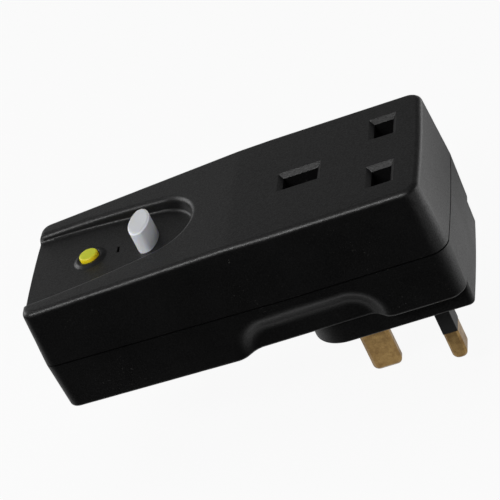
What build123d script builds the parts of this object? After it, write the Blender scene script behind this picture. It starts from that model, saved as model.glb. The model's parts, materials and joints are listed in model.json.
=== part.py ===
from build123d import *
import os
from math import cos, radians, sin, tan

# A plug-in residual current adapter, in millimetres.
# +Z is the outward normal of the front face that holds the socket, and the plug pins point along -Z.
# +X runs along the length towards the live and neutral pins, and the live side is -Y.
# The origin is on the plug face, midway between the earth pin and the line of the other two pins.

# Plug and socket layout
EARTH_TO_LINE = 22.2
LINE_SPACING = 22.2
EARTH_PIN = (8.0, 4.0, 22.73)
LINE_PIN = (4.0, 6.35, 17.73)
SLEEVE_LENGTH = 9.3
SLEEVE_SKIN = 0.3
EARTH_TIP = (1.7, 1.0)
LINE_TIP = (1.7, 0.6)
PIN_EDGE = 0.25
EARTH_APERTURE = (9.4, 5.9)
LINE_APERTURE = (5.2, 7.5)
APERTURE_CHAMFER = 1.15

# Shell
BOSS_DEPTH = 6.4
REAR_SHELL_DEPTH = 14.3
FRONT_SHELL_DEPTH = 19.05
HALF_WIDTH = 24.35
END_TAPER = 2.65
RIGHT_X = 22.55
LEFT_X = -88.6
BEND_X = -20.0
END_BOW = 0.5
CORNER_RADIUS = 5.0
LEFT_CORNER_RADIUS = 3.8
FRONT_DRAFT = 2.86
REAR_DRAFT = 2.2
WALL = 2.5
FALL_START_X = -29.4
FRONT_FALL = 2.4
FALL_BLEND = 60.0
FRONT_EDGE = 1.6
REAR_EDGE = 1.0
GROOVE_HEIGHT = 0.4
GROOVE_DEPTH = 0.6
TONGUE_HEIGHT = 1.2
TONGUE_WIDTH = 1.1

# Plug boss
BOSS_RECESS = 5.25
BOSS_LEFT_X = -22.2
BOSS_LEFT_RADIUS = 10.0
BOSS_CORNER_RADIUS = 1.6
BOSS_EDGE = 0.7
BOSS_FLOOR = 3.0
BOSS_STEP = 0.5
BOSS_SETBACK = 0.08

# Finger grips in the sides of the rear shell
GRIP_DEPTH = 4.35
GRIP_LEFT_X = -34.6
GRIP_RIGHT_X = -3.2
GRIP_TOP = 12.6
GRIP_CORNER = 5.0
GRIP_SLOPE = 49.0
GRIP_BLEND = 4.5

# Channel that the buttons stand in
CHANNEL_DEPTH = 4.35
CHANNEL_END_X = -41.0
CHANNEL_END_RADIUS = 12.2
CHANNEL_END_ANGLE = 78.0
CHANNEL_DRAFT = 10.0
CHANNEL_EDGE = 1.0
CHANNEL_FLOOR = 2.2

# Buttons
TEST_X = -71.2
TEST_RADIUS = 2.6
TEST_PROUD = 1.7
TEST_TRAVEL = 1.5
TEST_RIM_RADIUS = 3.8
TEST_RIM_HEIGHT = 0.55
TEST_RIM_EDGE = 0.5
RESET_X = -54.8
RESET_HALF_LENGTH = 5.7
RESET_HALF_WIDTH = 2.85
RESET_END_RADIUS = 1.9
RESET_PROUD = 6.3
RESET_TRAVEL = 3.0
BUTTON_GAP = 0.25
FLANGE_THICKNESS = 1.2
FLANGE_REACH = 1.2
STEM_RADIUS = 1.8
SLOT_X = -63.2
SLOT = (0.7, 2.6)

# Fits
CLEARANCE = 0.2
RUNNING = 0.05

# Circuit board and the switch on it
BOARD_GAP = 2.5
BOARD_THICKNESS = 1.6
BOARD_END_GAP = 5.4
BOARD_SIDE_GAP = 4.7
BOARD_NOTCH = (7.5, 6.5)
BASE_THICKNESS = 1.6
BASE_MARGIN = 0.9
POST_MARGIN = 2.9
POST_RADIUS = 1.5
POST_AT = (11.7, 8.0)
CORE_LEG = 2.0
CORE_HALF_LENGTH = 10.5
CORE_HALF_WIDTH = 5.0
CORE_RADIUS = 2.5
CORE_HEIGHT = 9.2
BOBBIN_WALL = 0.75
BOBBIN_RADIUS = 7.2
BOBBIN_FLANGE = 0.9
COIL_RADIUS = 6.7
ARMATURE_THICKNESS = 1.6
ARMATURE_GAP = 0.2
CARRIER_THICKNESS = 2.6
CARRIER_STEP = 0.1
ARM_STEP = 0.3
ARM_HALF_WIDTH = 3.2
CARRIER_HALF_WIDTH = 10.0
CONTACT_Y = 12.6
CONTACT_HALF_SPAN = 6.0
RIVET_RADIUS = 1.5
RIVET_HEIGHT = 0.6
STRIP_THICKNESS = 0.5
STRIP_WIDTH = 4.0
CONTACT_GAP = 0.05

# Springs
WIRE_RADIUS = 0.28
COIL_TURNS = 6
SHUTTER_SPRING_RADIUS = 1.45
SHUTTER_TAB = 1.4
SHUTTER_TAIL = 3.0
SHUTTER_BAR = 1.6

# Current transformer
RING_GAP = 6.0
RING_RADIUS = 8.5
RING_BORE = 4.0
RING_WIDTH = 8.0
RING_Z = 22.0
WINDING_BUILD = 0.6
WINDING_ANGLE = 80.0
SADDLE_WIDTH = 1.5
SADDLE_HALF_LENGTH = 6.5

# Socket block, contacts and shutter
PIN_FLANGE = 1.6
PIN_FLANGE_REACH = 1.2
TAIL_THICKNESS = 1.5
TAIL_LENGTH = 8.0
STRAP_LAP = 3.0
STRAP_SLOT = 1.5
BLOCK_BASE = 2.8
TOWER_WALL = 1.0
TOWER_ROOM = (1.8, 1.0)
BLOCK_MARGIN = 4.0
TOWER_SHELF = 1.6
CONTACT_SHEET = 0.6
CLIP_HEIGHT = 10.4
CLIP_THROAT = 0.4
SHUTTER_THICKNESS = 2.0
SHUTTER_TRAVEL = 6.8
SHUTTER_DEPTH = 6.55
SHUTTER_OVERLAP = 0.7
COLLAR_WALL = 1.3

# Leads and screws
LEAD_RADIUS = 1.1
LEAD_BEND = 2.4
SUPPLY_STRAIGHT = 9.5
SUPPLY_CROSSING = 5.0
RISE_START = 8.5
RISE_END = 3.2
LEAD_LANDING = 3.0
LOAD_STRAIGHT = 5.5
LOAD_PASS = (8.0, 6.0)
LOAD_DROP_IN = 1.7
LOAD_DROP_Y = 4.0
LOAD_DROP = 5.0
SCREW_RADIUS = 1.45
SCREW_LENGTH = 15.0
SCREW_HEAD_RADIUS = 2.8
SCREW_HEAD_HEIGHT = 2.0
SCREW_TOWER_RADIUS = 3.0
REAR_TOWER_RADIUS = 4.0
SCREW_ENGAGEMENT = 8.3
BOARD_SCREW_RADIUS = 1.1
BOARD_SCREW_MARGIN = 2.2
BOARD_SCREW_Y = 14.2
BOARD_SCREW_HEAD = 1.2
CENTRE_SCREW_X = 3.6
END_SCREW_IN = (8.0, 6.4)
BOSS_SCREW_IN = (6.2, 6.0)
SCREW_SLOT = (3.4, 0.8, 1.1)

# Electronics, each with its place from the board's left end and middle line
VARISTOR_PLACE = (4.4, -6.6)
VARISTOR_RADIUS = 3.9
VARISTOR_THICKNESS = 3.6
VARISTOR_LIFT = 4.4
VARISTOR_LEGS = (2.2, 0.35)
CAPACITOR_PLACE = (4.0, 7.4)
CAPACITOR_SIZE = (7.2, 5.2, 9.0)
THYRISTOR_PLACE = (10.0, -11.0)
THYRISTOR_SIZE = (2.2, 4.6)
THYRISTOR_FLAT = 1.3
THYRISTOR_LIFT = 2.0
THYRISTOR_PITCH = 1.27
CHIP_Y = 6.0
CONTROL_CHIP = (5.0, 4.0, 1.6)
RECTIFIER = (4.6, 4.0, 1.8)
CHIP_STANDOFF = 0.15
CHIP_FEET = 4
FOOT_WIDTH = 0.4
FOOT_REACH = 0.8
FOOT_HEIGHT = 0.25
RESISTOR = (3.2, 2.5, 0.7)
RESISTOR_PITCH = 5.2
RESISTORS = 5
LEAF_REACH = 5.6
LEAF_FOOT = 1.8
TEST_POST_RADIUS = 0.8

# How far a form is sunk in the one that carries it, and how far a cut runs past
SINK = 0.5
CUT = 1.0

# Planes worked out from the sizes above
EARTH_X = -EARTH_TO_LINE / 2
LINE_X = EARTH_TO_LINE / 2
LINE_Y = LINE_SPACING / 2
END_HALF_WIDTH = HALF_WIDTH - END_TAPER
BOSS_HALF_WIDTH = HALF_WIDTH - BOSS_RECESS
GRIP_HALF_WIDTH = HALF_WIDTH - GRIP_DEPTH
BASE_HALF_LENGTH = RESET_X - TEST_X - POST_MARGIN
BASE_HALF_WIDTH = CONTACT_Y + STRIP_WIDTH / 2 + BASE_MARGIN
CARRIER_HALF_LENGTH = BASE_HALF_LENGTH - CARRIER_STEP
BOARD_SCREW_X = RESET_X + BASE_HALF_LENGTH + BOARD_SCREW_MARGIN
BOARD_LEFT_X = LEFT_X + BOARD_END_GAP
BOARD_RIGHT_X = BOARD_SCREW_X + BOARD_SCREW_MARGIN
BOARD_HALF_WIDTH = END_HALF_WIDTH - BOARD_SIDE_GAP
RING_X = BOARD_RIGHT_X + RING_GAP
REAR_Z = BOSS_DEPTH
PARTING_Z = REAR_Z + REAR_SHELL_DEPTH
FRONT_Z = PARTING_Z + FRONT_SHELL_DEPTH
CHANNEL_Z = FRONT_Z - CHANNEL_DEPTH
CEILING_Z = FRONT_Z - WALL
LOW_CEILING_Z = CHANNEL_Z - CHANNEL_FLOOR
STEP_X = CHANNEL_END_X + WALL + 1.5
FLOOR_Z = REAR_Z + WALL
BOARD_Z = FLOOR_Z + BOARD_GAP
BOARD_TOP = BOARD_Z + BOARD_THICKNESS
BASE_TOP = BOARD_TOP + BASE_THICKNESS
POLE_Z = BOARD_TOP + CORE_HEIGHT
ARMATURE_Z = POLE_Z + ARMATURE_GAP + RESET_TRAVEL
CARRIER_Z = ARMATURE_Z + ARMATURE_THICKNESS
CARRIER_TOP = CARRIER_Z + CARRIER_THICKNESS
FLANGE_TOP = LOW_CEILING_Z - CLEARANCE
SHUTTER_TOP = FRONT_Z - SHUTTER_DEPTH
SHUTTER_Z = SHUTTER_TOP - SHUTTER_THICKNESS
COLLAR_Z = SHUTTER_TOP + CLEARANCE
TOWER_TOP = SHUTTER_Z - CLEARANCE
BLOCK_Z = BOSS_FLOOR + PIN_FLANGE + RUNNING
BLOCK_TOP = BLOCK_Z + BLOCK_BASE
CLIP_Z = TOWER_TOP - CLIP_HEIGHT
SHELF_Z = CLIP_Z - TOWER_SHELF
RESET_FLANGE_Z = FLANGE_TOP - FLANGE_THICKNESS
CUP_Z = CARRIER_TOP - 1.2
LEAF_Z = CARRIER_Z - 0.2
SPRING_RADIUS = STEM_RADIUS + WIRE_RADIUS + 0.15
SPRING_Z = (SHUTTER_TOP + CEILING_Z) / 2
STRAP_Z = CLIP_Z - 3.6
INNER_LEAD_Y = 7.7
SUPPLY_Z = FLOOR_Z + LEAD_RADIUS + CLEARANCE
SHUTTER_HALF_WIDTH = LINE_Y + LINE_APERTURE[1] / 2 + SHUTTER_OVERLAP
END_SCREW = (LEFT_X + END_SCREW_IN[0], END_HALF_WIDTH - END_SCREW_IN[1])
BOSS_SCREW = (BOSS_LEFT_X + BOSS_SCREW_IN[0], BOSS_HALF_WIDTH - BOSS_SCREW_IN[1])
PAIRED_SCREWS = [(x, side * y) for x, y in (END_SCREW, BOSS_SCREW) for side in (-1, 1)]
SCREWS = PAIRED_SCREWS + [(CENTRE_SCREW_X, 0.0)]
BOARD_SCREWS = [(BOARD_SCREW_X, side * BOARD_SCREW_Y) for side in (-1, 1)]


# Shared shapes
def block(x0, x1, y0, y1, z0, z1):
    """A box between two corners."""
    return Pos((x0 + x1) / 2, (y0 + y1) / 2, (z0 + z1) / 2) * Box(x1 - x0, y1 - y0, z1 - z0)


def rod(x, y, z0, z1, radius):
    """An upright cylinder."""
    return Pos(x, y, (z0 + z1) / 2) * Cylinder(radius, z1 - z0)


def prism(sketch, z0, z1):
    """A plan raised from one height to another."""
    return extrude(Pos(0, 0, z0) * sketch, z1 - z0)


def side_prism(points, y0, y1):
    """A side profile, given as X and Z pairs, raised across the width."""
    face = make_face(Polyline(*[(x, y0, z) for x, z in points], close=True))
    return extrude(face, amount=y1 - y0, dir=(0, 1, 0))


def shell_outline(inset=0.0):
    """The shell's plan at the parting plane, drawn in by an inset."""
    half, end = HALF_WIDTH - inset, END_HALF_WIDTH - inset
    right, left = RIGHT_X - inset, LEFT_X + inset
    edges = [
        Line((BEND_X, -half), (right - END_BOW, -half)),
        ThreePointArc((right - END_BOW, -half), (right, 0), (right - END_BOW, half)),
        Line((right - END_BOW, half), (BEND_X, half)),
        Line((BEND_X, half), (left + END_BOW, end)),
        ThreePointArc((left + END_BOW, end), (left, 0), (left + END_BOW, -end)),
        Line((left + END_BOW, -end), (BEND_X, -half)),
    ]
    face = make_face(edges)
    for corner_radius, at_end in ((CORNER_RADIUS, right), (LEFT_CORNER_RADIUS, left)):
        corners = [v for v in face.vertices() if abs(v.X - at_end) < 2 * END_BOW]
        face = fillet(corners, radius=max(corner_radius - inset, CUT))
    return face


def drafted(z0, z1, draft, inset=0.0):
    """A solid with the shell's plan at z0 that narrows by its draft towards z1."""
    end_inset = inset + abs(z1 - z0) * tan(radians(draft))
    ends = [Pos(0, 0, z0) * shell_outline(inset), Pos(0, 0, z1) * shell_outline(end_inset)]
    return loft(ends, ruled=True)


def rounded_box(x0, x1, y0, y1, z0, z1, radius):
    """A box whose upright edges are rounded."""
    plan = Pos((x0 + x1) / 2, (y0 + y1) / 2) * RectangleRounded(x1 - x0, y1 - y0, radius)
    return prism(plan, z0, z1)


def coil_spring(radius, length, start, axis=(0, 0, 1), turns=COIL_TURNS):
    """A compression spring wound about an axis, whose wire stays within its length."""
    height = length - 2 * WIRE_RADIUS
    helix = Helix(pitch=height / turns, height=height, radius=radius)
    wire = sweep(Plane(origin=helix @ 0, z_dir=helix % 0) * Circle(WIRE_RADIUS), path=helix)
    return Plane(origin=start, z_dir=axis).location * Pos(0, 0, WIRE_RADIUS) * wire


def lead(points):
    """An insulated lead along straight runs joined by bends."""
    path = FilletPolyline(*points, radius=LEAD_BEND)
    return sweep(Plane(origin=path @ 0, z_dir=path % 0) * Circle(LEAD_RADIUS), path=path)


# Front housing
def channel_outline():
    """The button channel's plan: a round end, then sides that flare gently to the shell's left end."""
    centre_x = CHANNEL_END_X - CHANNEL_END_RADIUS
    angle = radians(CHANNEL_END_ANGLE)
    tip_x = centre_x + CHANNEL_END_RADIUS * cos(angle)
    tip_y = CHANNEL_END_RADIUS * sin(angle)
    flare_radius = (tip_x - LEFT_X) / cos(angle)
    far_y = tip_y + flare_radius * (1 - sin(angle))
    turn = (90 - CHANNEL_END_ANGLE) / 2
    mid_x = tip_x - flare_radius * (cos(angle) - sin(radians(turn)))
    mid_y = far_y - flare_radius * (1 - cos(radians(turn)))
    open_x = LEFT_X - 2 * WALL
    edges = [
        ThreePointArc((tip_x, -tip_y), (CHANNEL_END_X, 0), (tip_x, tip_y)),
        ThreePointArc((tip_x, tip_y), (mid_x, mid_y), (LEFT_X, far_y)),
        Line((LEFT_X, far_y), (open_x, far_y)),
        Line((open_x, far_y), (open_x, -far_y)),
        Line((open_x, -far_y), (LEFT_X, -far_y)),
        ThreePointArc((LEFT_X, -far_y), (mid_x, -mid_y), (tip_x, -tip_y)),
    ]
    return make_face(edges)


def reset_outline(extra=0.0):
    """The reset button's plan: two shallow arcs with small round ends, grown by an extra."""
    sagitta = RESET_HALF_WIDTH - RESET_END_RADIUS
    chord = RESET_HALF_LENGTH - RESET_END_RADIUS
    side_radius = (chord**2 + sagitta**2) / (2 * sagitta)
    outer = side_radius + RESET_END_RADIUS
    lens = Pos(RESET_HALF_WIDTH - outer, 0) * Circle(outer) & Pos(outer - RESET_HALF_WIDTH, 0) * Circle(outer)
    tips = [v for v in lens.vertices()]
    shape = fillet(tips, radius=RESET_END_RADIUS)
    return Pos(RESET_X, 0) * (offset(shape, extra) if extra else shape)


def above_front():
    """The space above the front face, which is level over the socket and falls towards the left end."""
    slope = FRONT_FALL / (FALL_START_X - LEFT_X)
    far_left = LEFT_X - 2 * WALL
    points = [
        (RIGHT_X + WALL, FRONT_Z),
        (FALL_START_X, FRONT_Z),
        (far_left, FRONT_Z - slope * (FALL_START_X - far_left)),
        (far_left, FRONT_Z + 2 * WALL),
        (RIGHT_X + WALL, FRONT_Z + 2 * WALL),
    ]
    profile = make_face(Polyline(*points, close=True))
    bend = [v for v in profile.vertices() if abs(v.X - FALL_START_X) < 0.01]
    return extrude(Plane.XZ * fillet(bend, FALL_BLEND), 2 * HALF_WIDTH, both=True)


def aperture_places():
    """Each socket hole's place and size: earth, live, neutral."""
    return [(EARTH_X, 0, EARTH_APERTURE), (LINE_X, -LINE_Y, LINE_APERTURE), (LINE_X, LINE_Y, LINE_APERTURE)]


def apertures():
    """The three chamfered socket holes, as the solids that cut them."""
    cuts = []
    for x, y, (length, width) in aperture_places():
        mouth = Rectangle(length + 2 * APERTURE_CHAMFER, width + 2 * APERTURE_CHAMFER)
        funnel = loft(
            [
                Pos(x, y, FRONT_Z - APERTURE_CHAMFER) * Rectangle(length, width),
                Pos(x, y, FRONT_Z) * mouth,
            ],
            ruled=True,
        )
        hole = prism(Pos(x, y) * Rectangle(length, width), COLLAR_Z - WALL, FRONT_Z)
        cuts += [funnel, hole]
    return cuts


def front_outer():
    """The front shell's outside with the button channel sunk in it and its edges rounded."""
    body = drafted(PARTING_Z, FRONT_Z + WALL, FRONT_DRAFT) - above_front()
    slope = tan(radians(CHANNEL_DRAFT)) * (FRONT_Z - CHANNEL_Z)
    floor = offset(channel_outline(), -slope)
    wide = offset(channel_outline(), slope)
    body -= loft([Pos(0, 0, CHANNEL_Z) * floor, Pos(0, 0, 2 * FRONT_Z - CHANNEL_Z) * wide], ruled=True)
    floor_edges = [
        e
        for e in body.edges()
        if abs(e.center().Z - CHANNEL_Z) < 0.01 and e.center().X > LEFT_X + 1 and e.geom_type != GeomType.LINE
    ]
    body = fillet(floor_edges, CHANNEL_EDGE)
    top = [
        e
        for e in body.edges()
        if e.center().Z > FRONT_Z - FRONT_FALL - 0.3
        and (abs(e.center().X - FALL_START_X) > CORNER_RADIUS or abs(e.center().Y) > CORNER_RADIUS)
    ]
    return fillet(top, FRONT_EDGE)


def front_housing():
    """The front moulding: shell, collars, screw posts and shutter rails."""
    body = front_outer()
    hollow = drafted(PARTING_Z, FRONT_Z, FRONT_DRAFT, WALL)
    hollow -= block(STEP_X, RIGHT_X, -HALF_WIDTH, HALF_WIDTH, CEILING_Z, FRONT_Z + CUT)
    hollow -= block(LEFT_X, STEP_X, -HALF_WIDTH, HALF_WIDTH, LOW_CEILING_Z, FRONT_Z + CUT)
    body -= hollow
    for x, y, (length, width) in aperture_places():
        reach_x, reach_y = length / 2 + COLLAR_WALL, width / 2 + COLLAR_WALL
        body += block(x - reach_x, x + reach_x, y - reach_y, y + reach_y, COLLAR_Z, CEILING_Z + SINK)
    for x, y in SCREWS:
        ceiling = CEILING_Z if x > STEP_X else LOW_CEILING_Z
        body += rod(x, y, PARTING_Z, ceiling + SINK, SCREW_TOWER_RADIUS)
    for side in (-1, 1):
        inner = side * (SHUTTER_HALF_WIDTH + CLEARANCE)
        outer = inner + side * COLLAR_WALL
        low, high = sorted((inner, outer))
        rail_x = LINE_X - LINE_APERTURE[0] / 2
        rail_end = rail_x + LINE_APERTURE[0]
        body += block(rail_x - SHUTTER_TRAVEL, rail_end, low, high, SHUTTER_Z, CEILING_Z + SINK)
    for cut in apertures():
        body -= cut
    for x, y in SCREWS:
        body -= rod(x, y, PARTING_Z - CUT, PARTING_Z + SCREW_ENGAGEMENT + CUT, SCREW_RADIUS + RUNNING)
    rim = rod(TEST_X, 0, CHANNEL_Z - SINK, CHANNEL_Z + TEST_RIM_HEIGHT, TEST_RIM_RADIUS)
    body += fillet(rim.edges().group_by(Axis.Z)[-1], TEST_RIM_EDGE)
    body -= rod(TEST_X, 0, LOW_CEILING_Z - CUT, CHANNEL_Z + CUT, TEST_RADIUS + BUTTON_GAP)
    body -= prism(reset_outline(BUTTON_GAP), LOW_CEILING_Z - CUT, CHANNEL_Z + CUT)
    body -= prism(Pos(SLOT_X, 0) * Rectangle(*SLOT), LOW_CEILING_Z - CUT, CHANNEL_Z + CUT)
    groove = shell_outline(-CUT) - shell_outline(GROOVE_DEPTH)
    body -= prism(groove, PARTING_Z - CUT, PARTING_Z + GROOVE_HEIGHT)
    seat = shell_outline(WALL - TONGUE_WIDTH - CLEARANCE) - shell_outline(WALL + 1)
    body -= prism(seat, PARTING_Z - CUT, PARTING_Z + TONGUE_HEIGHT + CLEARANCE)
    return body


# Rear housing
def boss_outline(inset=0.0):
    """The plug boss's plan, which runs past the shell's right end."""
    half = BOSS_HALF_WIDTH - inset
    plan = Pos((BOSS_LEFT_X + inset + RIGHT_X + WALL) / 2, 0) * Rectangle(
        RIGHT_X + WALL - BOSS_LEFT_X - inset, 2 * half
    )
    left = [v for v in plan.vertices() if v.X < 0]
    return fillet(left, BOSS_LEFT_RADIUS - inset)


def end_limit(inset=0.0):
    """A wide drafted solid with the shell's bowed right end, carried down to the plug face."""

    def plan(z):
        right = RIGHT_X - inset - (PARTING_Z - z) * tan(radians(REAR_DRAFT))
        edges = [
            ThreePointArc((right - END_BOW, -HALF_WIDTH), (right, 0), (right - END_BOW, HALF_WIDTH)),
            Line((right - END_BOW, HALF_WIDTH), (LEFT_X, HALF_WIDTH)),
            Line((LEFT_X, HALF_WIDTH), (LEFT_X, -HALF_WIDTH)),
            Line((LEFT_X, -HALF_WIDTH), (right - END_BOW, -HALF_WIDTH)),
        ]
        return Pos(0, 0, z) * make_face(edges)

    return loft([plan(PARTING_Z), plan(0)], ruled=True)


def grip_cut(side):
    """The finger grip's space beside one side wall, with sloped flanks."""
    spread = HALF_WIDTH + WALL - GRIP_HALF_WIDTH
    grow = spread * tan(radians(GRIP_SLOPE))

    def window(y, extra):
        low = -GRIP_TOP
        width = GRIP_RIGHT_X - GRIP_LEFT_X + 2 * extra
        height = GRIP_TOP + extra - low
        middle = ((GRIP_LEFT_X + GRIP_RIGHT_X) / 2, y, low + height / 2)
        plane = Plane(origin=middle, x_dir=(1, 0, 0), z_dir=(0, -1, 0))
        return plane * RectangleRounded(width, height, GRIP_CORNER + extra)

    inner, outer = side * GRIP_HALF_WIDTH, side * (GRIP_HALF_WIDTH + spread)
    return loft([window(inner, 0), window(outer, grow)], ruled=True)


def rear_outer():
    """The rear shell's outside with its plug boss and finger grips."""
    body = drafted(PARTING_Z, REAR_Z, REAR_DRAFT)
    for side in (-1, 1):
        body -= grip_cut(side)
    flanks = [
        e
        for e in body.edges()
        if REAR_Z + 0.5 < e.center().Z < PARTING_Z - 0.5
        and GRIP_LEFT_X - 8 < e.center().X < GRIP_RIGHT_X + 8
    ]
    body = fillet(flanks, GRIP_BLEND)
    bottom = [e for e in body.edges() if abs(e.center().Z - REAR_Z) < 0.01]
    body = fillet(bottom, REAR_EDGE)
    boss = prism(boss_outline(), 0, REAR_Z + WALL) & end_limit(BOSS_SETBACK)
    corners = [
        e for e in boss.edges() if e.center().X > 0 and abs(abs(e.center().Y) - BOSS_HALF_WIDTH) < 0.3
        and abs(e.center().Z - (REAR_Z + WALL) / 2) < 0.5
    ]
    boss = fillet(corners, BOSS_CORNER_RADIUS)
    rim = [e for e in boss.edges() if abs(e.center().Z) < 0.01]
    boss = fillet(rim, BOSS_EDGE)
    return body + boss


def rear_housing():
    """The rear moulding: shell, boss, screw towers, board posts and transformer saddle."""
    body = rear_outer()
    hollow = drafted(PARTING_Z, FLOOR_Z, REAR_DRAFT, WALL)
    grip_wall = GRIP_HALF_WIDTH - WALL
    spread = (HALF_WIDTH - GRIP_HALF_WIDTH) * tan(radians(GRIP_SLOPE)) + WALL
    for side in (-1, 1):
        low, high = sorted((side * grip_wall, side * HALF_WIDTH))
        left, right = GRIP_LEFT_X - spread, GRIP_RIGHT_X + spread
        hollow -= block(left, right, low, high, FLOOR_Z - CUT, GRIP_TOP + spread)
    body -= hollow
    body -= prism(boss_outline(WALL), BOSS_FLOOR, FLOOR_Z + 0.1) & end_limit(WALL + BOSS_STEP)
    body += prism(
        shell_outline(WALL - TONGUE_WIDTH) - shell_outline(WALL), PARTING_Z - CUT, PARTING_Z + TONGUE_HEIGHT
    )
    for x, y in SCREWS:
        floor = BOSS_FLOOR if x > BOSS_LEFT_X else FLOOR_Z
        body += rod(x, y, floor - SINK, PARTING_Z, REAR_TOWER_RADIUS)
    for x, y in BOARD_SCREWS:
        body += rod(x, y, FLOOR_Z - SINK, BOARD_Z, 2 * BOARD_SCREW_RADIUS)
    for x in (BOARD_LEFT_X + 2, BOARD_LEFT_X + 12):
        for side in (-1, 1):
            y = side * (BOARD_HALF_WIDTH - BOARD_NOTCH[1] - 1.5)
            body += rod(x, y, FLOOR_Z - SINK, BOARD_Z, BOARD_SCREW_RADIUS)
    ring = Pos(RING_X, 0, RING_Z) * Rot(0, 90, 0) * Cylinder(RING_RADIUS + RUNNING, 2 * RING_WIDTH)
    for x in (RING_X - RING_WIDTH / 4, RING_X + RING_WIDTH / 4):
        left, right = x - SADDLE_WIDTH / 2, x + SADDLE_WIDTH / 2
        top = RING_Z - RING_RADIUS / 2
        body += block(left, right, -SADDLE_HALF_LENGTH, SADDLE_HALF_LENGTH, FLOOR_Z - SINK, top) - ring
    for x, y, (length, width, _) in pin_places():
        hole = Rectangle(length + 2 * RUNNING, width + 2 * RUNNING)
        body -= prism(Pos(x, y) * hole, -1, BOSS_FLOOR + CUT)
    for x, y in SCREWS:
        head_z = PARTING_Z + SCREW_ENGAGEMENT - SCREW_LENGTH
        body -= rod(x, y, -1, PARTING_Z + CUT, SCREW_RADIUS + CLEARANCE)
        body -= rod(x, y, -1, head_z, SCREW_HEAD_RADIUS + CLEARANCE)
    for x, y in BOARD_SCREWS:
        body -= rod(x, y, FLOOR_Z - CUT, BOARD_Z + CUT, BOARD_SCREW_RADIUS / 2 + RUNNING)
    return body


# Plug pins and sleeves
def pin_places():
    """Each pin's place and size: earth, live, neutral."""
    return [(EARTH_X, 0, EARTH_PIN), (LINE_X, -LINE_Y, LINE_PIN), (LINE_X, LINE_Y, LINE_PIN)]


def pin(x, y, size, tip):
    """A plug pin with a rounded and chamfered tip, a flange that seats on the boss floor and a flat tail."""
    length, width, reach = size
    tip_radius, tip_chamfer = tip
    bar = prism(Rectangle(length, width), -reach, BOSS_FLOOR)
    bar = fillet(bar.edges().group_by(Axis.Z)[0].filter_by(Axis.Y), tip_radius)
    bar = chamfer(bar.edges().group_by(Axis.Z)[0].filter_by(Axis.X), tip_chamfer)
    bar = fillet(bar.edges().filter_by(Axis.Z), PIN_EDGE)
    flange_x, flange_y = length / 2 + PIN_FLANGE_REACH, width / 2 + PIN_FLANGE_REACH
    flange = block(-flange_x, flange_x, -flange_y, flange_y, BOSS_FLOOR, BOSS_FLOOR + PIN_FLANGE)
    tail_low = BOSS_FLOOR + PIN_FLANGE
    tail_x, tail_y = TAIL_THICKNESS / 2, width / 2
    tail = block(-tail_x, tail_x, -tail_y, tail_y, tail_low, tail_low + TAIL_LENGTH)
    return Pos(x, y) * (bar + flange + tail)


def line_pin(y):
    """A live or neutral pin, thinned where its sleeve is moulded round it."""
    length, width, _ = LINE_PIN
    sleeve_z = -SLEEVE_LENGTH
    ring = Rectangle(length + 2, width + 2) - Rectangle(length - 2 * SLEEVE_SKIN, width - 2 * SLEEVE_SKIN)
    return pin(LINE_X, y, LINE_PIN, LINE_TIP) - Pos(LINE_X, y) * prism(ring, sleeve_z, BOSS_FLOOR)


def sleeve(y):
    """The insulating sleeve round the root of a live or neutral pin."""
    length, width, _ = LINE_PIN
    outer = RectangleRounded(length, width, PIN_EDGE)
    core = Rectangle(length - 2 * SLEEVE_SKIN, width - 2 * SLEEVE_SKIN)
    return Pos(LINE_X, y) * prism(outer - core, -SLEEVE_LENGTH, BOSS_FLOOR)


# Socket block, contacts and shutter
def towers():
    """The inside of each contact's tower: centre, half length and half width."""
    wide, narrow = TOWER_ROOM
    earth = (EARTH_X, 0, EARTH_PIN[0] / 2 + narrow, EARTH_PIN[1] / 2 + wide)
    lines = [(LINE_X, side * LINE_Y, LINE_PIN[0] / 2 + wide, LINE_PIN[1] / 2 + narrow) for side in (-1, 1)]
    return [earth] + lines


def socket_block():
    """The moulding that clamps the pins down and holds the socket contacts in three towers."""
    left, right = EARTH_X - EARTH_PIN[0] / 2 - BLOCK_MARGIN, LINE_X + LINE_PIN[0] / 2 + BLOCK_MARGIN
    half = LINE_Y + LINE_PIN[1] / 2 + TOWER_WALL
    body = prism(boss_outline(WALL + CLEARANCE), BLOCK_Z, BLOCK_TOP)
    body &= block(left, right, -half, half, BLOCK_Z, BLOCK_TOP)
    for x, y, half_x, half_y in towers():
        outer_x, outer_y = half_x + TOWER_WALL, half_y + TOWER_WALL
        body += block(x - outer_x, x + outer_x, y - outer_y, y + outer_y, BLOCK_Z, TOWER_TOP)
    for x, y, half_x, half_y in towers():
        body -= block(x - half_x, x + half_x, y - half_y, y + half_y, CLIP_Z, TOWER_TOP + CUT)
        body -= block(x - half_x, x + half_x, y - half_y, y + half_y, BLOCK_TOP, SHELF_Z)
        tail_y = (EARTH_PIN if x == EARTH_X else LINE_PIN)[1] / 2 + CLEARANCE
        tail_x = TAIL_THICKNESS / 2 + CLEARANCE
        body -= block(x - tail_x, x + tail_x, y - tail_y, y + tail_y, BLOCK_Z - CUT, BLOCK_TOP + CUT)
        strap = STRIP_WIDTH / 2 + CLEARANCE
        if x == EARTH_X:
            body -= block(x - tail_x - 1, x + tail_x + 1, y - strap, y + strap, SHELF_Z - CUT, CLIP_Z + CUT)
        else:
            low, high = x - half_x - TOWER_WALL - CUT, x - half_x + CUT
            body -= block(low, high, y - strap, y + strap, CLIP_Z, CLIP_Z + STRAP_SLOT)
            window = LEAD_RADIUS + CLEARANCE
            body -= block(low, high, y - window, y + window, BLOCK_TOP, SUPPLY_Z + window)
    for x, y in SCREWS:
        body -= rod(x, y, BLOCK_Z - CUT, TOWER_TOP, REAR_TOWER_RADIUS + CLEARANCE)
    return body


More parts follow.
